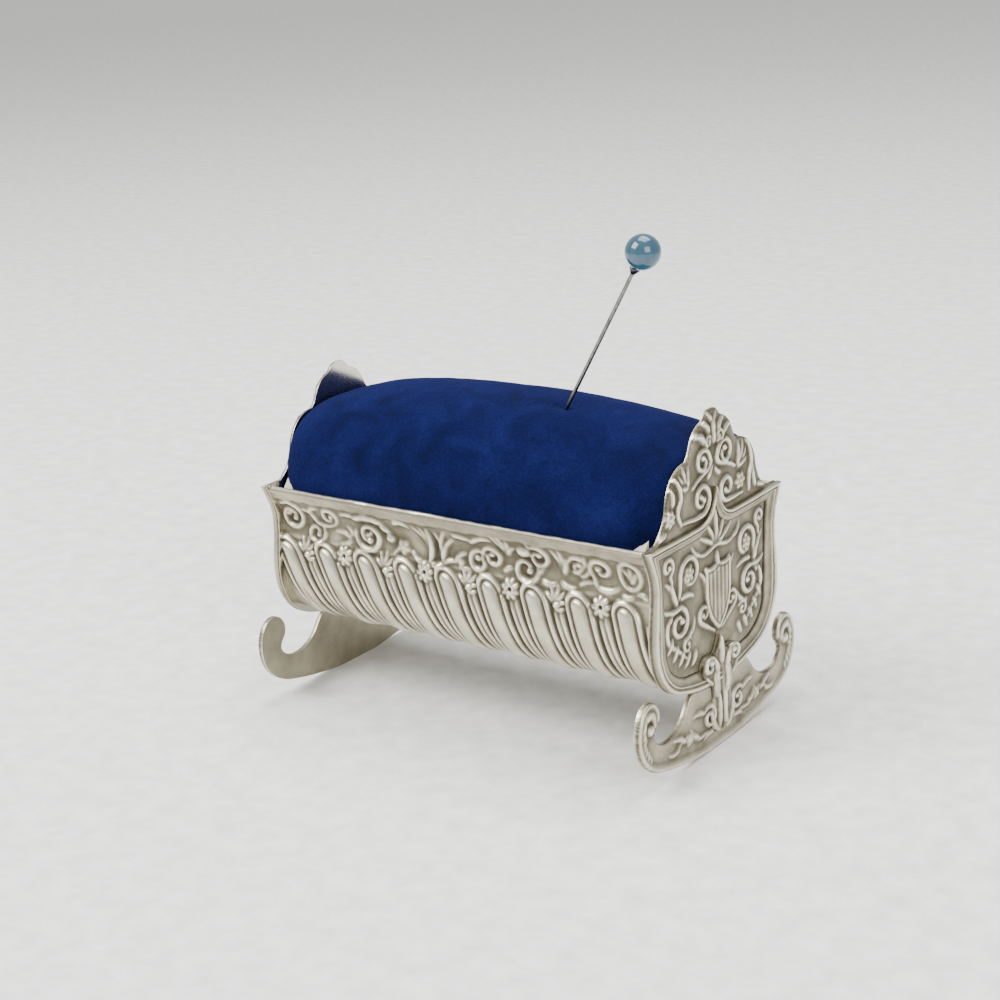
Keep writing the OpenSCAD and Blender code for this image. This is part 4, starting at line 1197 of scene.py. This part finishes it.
class PINCUSHION_OT_rockers(bpy.types.Operator):
    """Cast both rockers, each with the stem that laps over its border"""
    bl_idname = "pincushion.rockers"
    bl_label = "Rockers"

    def execute(self, context):
        c, finish = Sizes(context), context.scene.cradle_finish
        silver = silver_of("cast_sterling_silver", finish)
        filed = material_of("filed_sterling_silver", filed_silver, finish)
        outline = both_sides(rocker_side(c, ROCKER_STEPS))
        r = relief_over(outline, c.grain)
        cast_rocker(r, c)
        self.bead_edge(r, c)
        r.soften()
        plate = casting(r, outline, c.rocker_x + ROCKER_WEB, c.rocker_x, 0.25)
        stem_line = both_sides(stem_side(c, ROCKER_STEPS))
        s = relief_over(stem_line, STEM_GRID)
        cast_stem(s, c)
        s.soften()
        stem = casting(s, stem_line, c.front_x + STEM_PROUD, c.plate_x + STEM_PROUD, 0.3)
        points = np.vstack([plate[0], stem[0]])
        shift = len(plate[0])
        faces = plate[1] + [[k + shift for k in face] for face in stem[1]]
        flat, kinds, hollow = (np.concatenate([plate[k], stem[k]]) for k in (2, 3, 4))
        right = add_piece("right_rocker_cast", points, faces, [silver, filed], "cradle", "right_rocker",
                          "cast_silver", flat, kinds, hollow)
        copy_piece(right, "left_rocker_cast", "left_rocker")
        return {"FINISHED"}

    def bead_edge(self, r, c):
        """Raised edge along the rolling arc and up the outer side of each curl"""
        rolling_points = 12
        run = rocker_side(c, ROCKER_STEPS)[:rolling_points + 3 * ROCKER_STEPS]
        line = np.vstack([run[::-1] * (-1, 1), run[1:]])
        line = line + 0.42 * left_of(line)
        r.stroke(line, (0.42, 0.42), 0.3, ridge, keep=0.3)
        line = line + 0.55 * left_of(line)
        r.stroke(line, (0.16, 0.16), 0.14, ridge, keep=0.3)


# Pad

TUCK = 0.9                             # how far below the rim the velvet's dome starts
SWELL_FROM = 34.0                      # height above which the pad is uneven


def crest(c, x):
    """Height of the pad's ridge along the cradle"""
    return c.crest_end_z + (c.crest_z - c.crest_end_z) * (1 - (np.abs(x) / c.inner_x)**2.85)


class PINCUSHION_OT_pad(bpy.types.Operator):
    """Stretch the velvet over the stuffing, tucked in behind the metal"""
    bl_idname = "pincushion.pad"
    bl_label = "Velvet pad"

    def execute(self, context):
        c, finish = Sizes(context), context.scene.cradle_finish
        velvet = material_of("cotton_velvet", cotton_velvet, finish)
        half = c.inner_x - 0.1
        t = np.linspace(-1, 1, 97)
        stations = half * np.sign(t) * (1 - (1 - np.abs(t))**1.35)
        line = panel_line(c, PANEL_STEPS)
        wall = line - (c.sheet_t + 0.12) * left_of(line)
        low = span("velvet_cover", "z")[0]
        wall = np.array([p for p in wall if low < p[1] < c.rim_z - 1.0])
        rim_y = line[0][0] - c.sheet_t / 2 - c.wire_r - 0.06
        mouth_z = c.rim_z - TUCK
        angle = np.radians(np.linspace(0, 90, 40))
        rings = []
        for x in stations:
            near = min(1, abs(x) / half)
            dome_y = rim_y - 3.2 * near**10
            full = 0.91 - 0.2 * near**6
            rise = crest(c, x) - mouth_z
            dome = np.column_stack([dome_y * np.sin(angle)**full, mouth_z + rise * np.cos(angle)**full])
            side = np.vstack([dome, wall, [(wall[-1][0] - 0.3, low)]])
            edge = 1.3
            out = max(0, abs(x) - (half - edge)) / edge
            shrink = edge * 0.8 * (1 - math.sqrt(max(0, 1 - out * out)))
            middle = np.array((0, 30.0))
            away = side - middle
            side = middle + away * (1 - shrink / np.hypot(*away.T)[:, None])
            loop = both_sides(side)
            rings.append(np.column_stack([np.full(len(loop), x), loop]))
        count = len(rings[0])
        points = self.dimple(self.unevenness(np.vstack(rings)))
        faces = tube_faces(len(rings), count)
        pad = add_piece("velvet_pad", points, faces, [velvet], "cradle", "velvet_cover", "velvet")
        for node, name, *given in (("base_board", "sawn_board", "#8a6b45", 0.7, 1.2, 0.1),
                                   ("stuffing_core", "packed_wadding", "#d8cfb8", 0.95, 0.8, 0.3)):
            data = frame["nodes"][node].data
            data.materials.clear()
            data.materials.append(material_of(name, plain_material, name, *given))
        return {"FINISHED"}

    def unevenness(self, points):
        """Slight hollows and swells, where the stuffing is packed unevenly"""
        out = points.copy()
        for i, (x, y, z) in enumerate(points):
            if z > SWELL_FROM:
                swell = 0.22 * noise.noise((x * 0.09, y * 0.09, 4.2))
                swell += 0.07 * noise.noise((x * 0.33, y * 0.33, 1.1))
                out[i, 2] += swell * min(1, (z - SWELL_FROM) / 6)
        return out

    def dimple(self, points):
        """Where the pin pushes the velvet in"""
        x, y = pin_entry()
        d = np.hypot(points[:, 0] - x, (points[:, 1] - y) * 1.2)
        points[:, 2] -= (0.55 * np.exp(-(d / 1.5)**2) + 0.25 * np.exp(-(d / 4.0)**2)) * (points[:, 2] > 40)
        return points


# Pin

PIN_LENGTH = 38.2                      # from the ball down to the point
VELVET_AT_PIN = 50.4                   # height of the velvet where the pin goes in
TURNED_SIDES = 48


def pin_axis():
    """Direction of the pin from its point to its head"""
    return Vector(frame["joints"][0]["axis"]).normalized()


def head_centre():
    """Middle of the ball head, in millimetres"""
    low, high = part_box("pin_head")
    return (low + high) / 2 / MM


def pin_entry():
    """Where the shank enters the velvet, on plan"""
    axis, centre = pin_axis(), head_centre()
    back = (centre.z - VELVET_AT_PIN) / axis.z
    return centre.x - axis.x * back, centre.y - axis.y * back


class PINCUSHION_OT_pin(bpy.types.Operator):
    """Turn the pin: pointed steel shank, dark collar and glass ball"""
    bl_idname = "pincushion.pin"
    bl_label = "Pin"

    def execute(self, context):
        finish = context.scene.cradle_finish
        radius = (span("pin_head", "z")[1] - span("pin_head", "z")[0]) / 2
        shank = PIN_LENGTH + radius
        a = np.linspace(-1.42, math.pi / 2, 44)
        ball = np.column_stack([radius * np.cos(a), radius * np.sin(a)])
        ball = np.vstack([(0.34, -radius + 0.12), (0.36, ball[0][1] + 0.02), ball])
        steel = [(0.01, -shank), (0.1, -shank + 0.9), (0.22, -shank + 2.2), (0.3, -shank + 3.2),
                 (0.3, -radius - 1.4), (0.3, -radius + 0.6)]
        bead = [(0.31, -radius - 1.15), (0.44, -radius - 1.1), (0.6, -radius - 0.75), (0.76, -radius - 0.4),
                (0.86, -radius - 0.12), (0.84, -radius + 0.06), (0.3, -radius + 0.1)]
        teal = opaque_glass("teal_glass", finish.glass, 0.16)
        dark = opaque_glass("dark_glass", finish.collar, 0.2)
        self.turned("ball_head", ball, teal, "pin_head", "teal_glass")
        self.turned("collar_bead", bead, dark, "pin_collar", "dark_glass")
        self.turned("steel_shank", steel, drawn_steel(finish), "pin_shank", "pin_steel")
        return {"FINISHED"}

    def turned(self, name, profile, material, node, slot):
        """A profile of radius and height turned about the pin's axis"""
        angles = np.linspace(0, 2 * math.pi, TURNED_SIDES, endpoint=False)
        rings = [np.column_stack([r * np.cos(angles), r * np.sin(angles), np.full(TURNED_SIDES, z)])
                 for r, z in profile]
        turn = np.array(pin_axis().to_track_quat("Z", "Y").to_matrix())
        points = np.vstack(rings) @ turn.T + np.array(head_centre())
        faces = tube_faces(len(profile), TURNED_SIDES)
        return add_piece(name, points, faces, [material], "pin", node, slot)


# Stage

CAMERA_PLACE = (170.47, -233.99, 125.75)  # in millimetres from the cradle's origin
CAMERA_AZIMUTH = 36.591                # in degrees
CAMERA_ELEVATION = 17.715
CAMERA_ROLL = -3.088
FOCAL_PIXELS = 1951.1                  # focal length, in pixels of the frame
WORLD_STRENGTH = 0.75
# Each light's name, place and size in metres, and power in watts
LIGHTS = (("key", (-0.35, -0.45, 0.6), 0.45, 9),
          ("fill", (0.6, -0.3, 0.35), 0.4, 3),
          ("top", (0.0, 0.15, 0.7), 0.5, 6))


class PINCUSHION_OT_stage(bpy.types.Operator):
    """Set the pale floor, the soft lights and the camera"""
    bl_idname = "pincushion.stage"
    bl_label = "Stage"

    def execute(self, context):
        finish = context.scene.cradle_finish
        self.floor(finish)
        self.lights()
        self.camera(context.scene)
        return {"FINISHED"}

    def floor(self, finish):
        """A pale floor, 6 m each way"""
        mesh = bpy.data.meshes.new("floor")
        mesh.from_pydata([(-3, -3, 0), (3, -3, 0), (3, 3, 0), (-3, 3, 0)], [], [(0, 1, 2, 3)])
        mesh.materials.append(plain_material("studio_floor", finish.floor, 0.8, 4, 0.02))
        obj = bpy.data.objects.new("floor", mesh)
        bpy.context.scene.collection.objects.link(obj)

    def lights(self):
        """A white surround and three soft lights that face the cradle"""
        world = bpy.data.worlds.new("studio")
        bpy.context.scene.world = world
        world.use_nodes = True
        surround = world.node_tree.nodes["Background"]
        surround.inputs["Color"].default_value = linear("#ffffff")
        surround.inputs["Strength"].default_value = WORLD_STRENGTH
        for name, place, size, power in LIGHTS:
            data = bpy.data.lights.new(name, "AREA")
            data.size = size
            data.energy = power
            lamp = bpy.data.objects.new(name, data)
            lamp.location = place
            lamp.rotation_mode = "QUATERNION"
            lamp.rotation_quaternion = (Vector((0, 0, 0.02)) - lamp.location).to_track_quat("-Z", "Y")
            bpy.context.scene.collection.objects.link(lamp)

    def camera(self, scene):
        """The camera, where the photograph was taken from"""
        a, e, roll = (math.radians(v) for v in (CAMERA_AZIMUTH, CAMERA_ELEVATION, CAMERA_ROLL))
        back = Vector((math.sin(a) * math.cos(e), -math.cos(a) * math.cos(e), math.sin(e)))
        right = Vector((math.cos(a), math.sin(a), 0))
        up = back.cross(right)
        right, up = (math.cos(roll) * right + math.sin(roll) * up,
                     math.cos(roll) * up - math.sin(roll) * right)
        data = bpy.data.cameras.new("camera")
        data.sensor_width = 36
        data.lens = FOCAL_PIXELS * data.sensor_width / FRAME_PIXELS
        data.clip_start = 0.01
        obj = bpy.data.objects.new("camera", data)
        place = Vector(CAMERA_PLACE) * MM
        obj.matrix_world = Matrix(((right.x, up.x, back.x, place.x),
                                   (right.y, up.y, back.y, place.y),
                                   (right.z, up.z, back.z, place.z),
                                   (0, 0, 0, 1)))
        scene.collection.objects.link(obj)
        scene.camera = obj


class PINCUSHION_PT_sidebar(bpy.types.Panel):
    """Sizes, finishes and pieces of the pincushion"""
    bl_label = "Cradle pincushion"
    bl_idname = "PINCUSHION_PT_sidebar"
    bl_space_type = "VIEW_3D"
    bl_region_type = "UI"
    bl_category = "Pincushion"

    def draw(self, context):
        layout = self.layout
        for group in (context.scene.cradle_sizes, context.scene.cradle_finish):
            box = layout.box()
            for name in group.__annotations__:
                box.prop(group, name)
        for operator in PIECES:
            layout.operator(operator.bl_idname)


PIECES = (PINCUSHION_OT_trough, PINCUSHION_OT_ends, PINCUSHION_OT_rockers, PINCUSHION_OT_pad,
          PINCUSHION_OT_pin, PINCUSHION_OT_stage)
CLASSES = (CradleSizes, CradleFinish, *PIECES, PINCUSHION_PT_sidebar)


def register():
    for cls in CLASSES:
        bpy.utils.register_class(cls)
    bpy.types.Scene.cradle_sizes = PointerProperty(type=CradleSizes)
    bpy.types.Scene.cradle_finish = PointerProperty(type=CradleFinish)


def unregister():
    del bpy.types.Scene.cradle_finish
    del bpy.types.Scene.cradle_sizes
    for cls in reversed(CLASSES):
        bpy.utils.unregister_class(cls)


def main():
    """Builds every piece and the stage"""
    register()
    bpy.ops.pincushion.trough()
    bpy.ops.pincushion.ends()
    bpy.ops.pincushion.rockers()
    bpy.ops.pincushion.pad()
    bpy.ops.pincushion.pin()
    bpy.ops.pincushion.stage()
    bpy.context.view_layer.update()


if __name__ == "__main__":
    main()
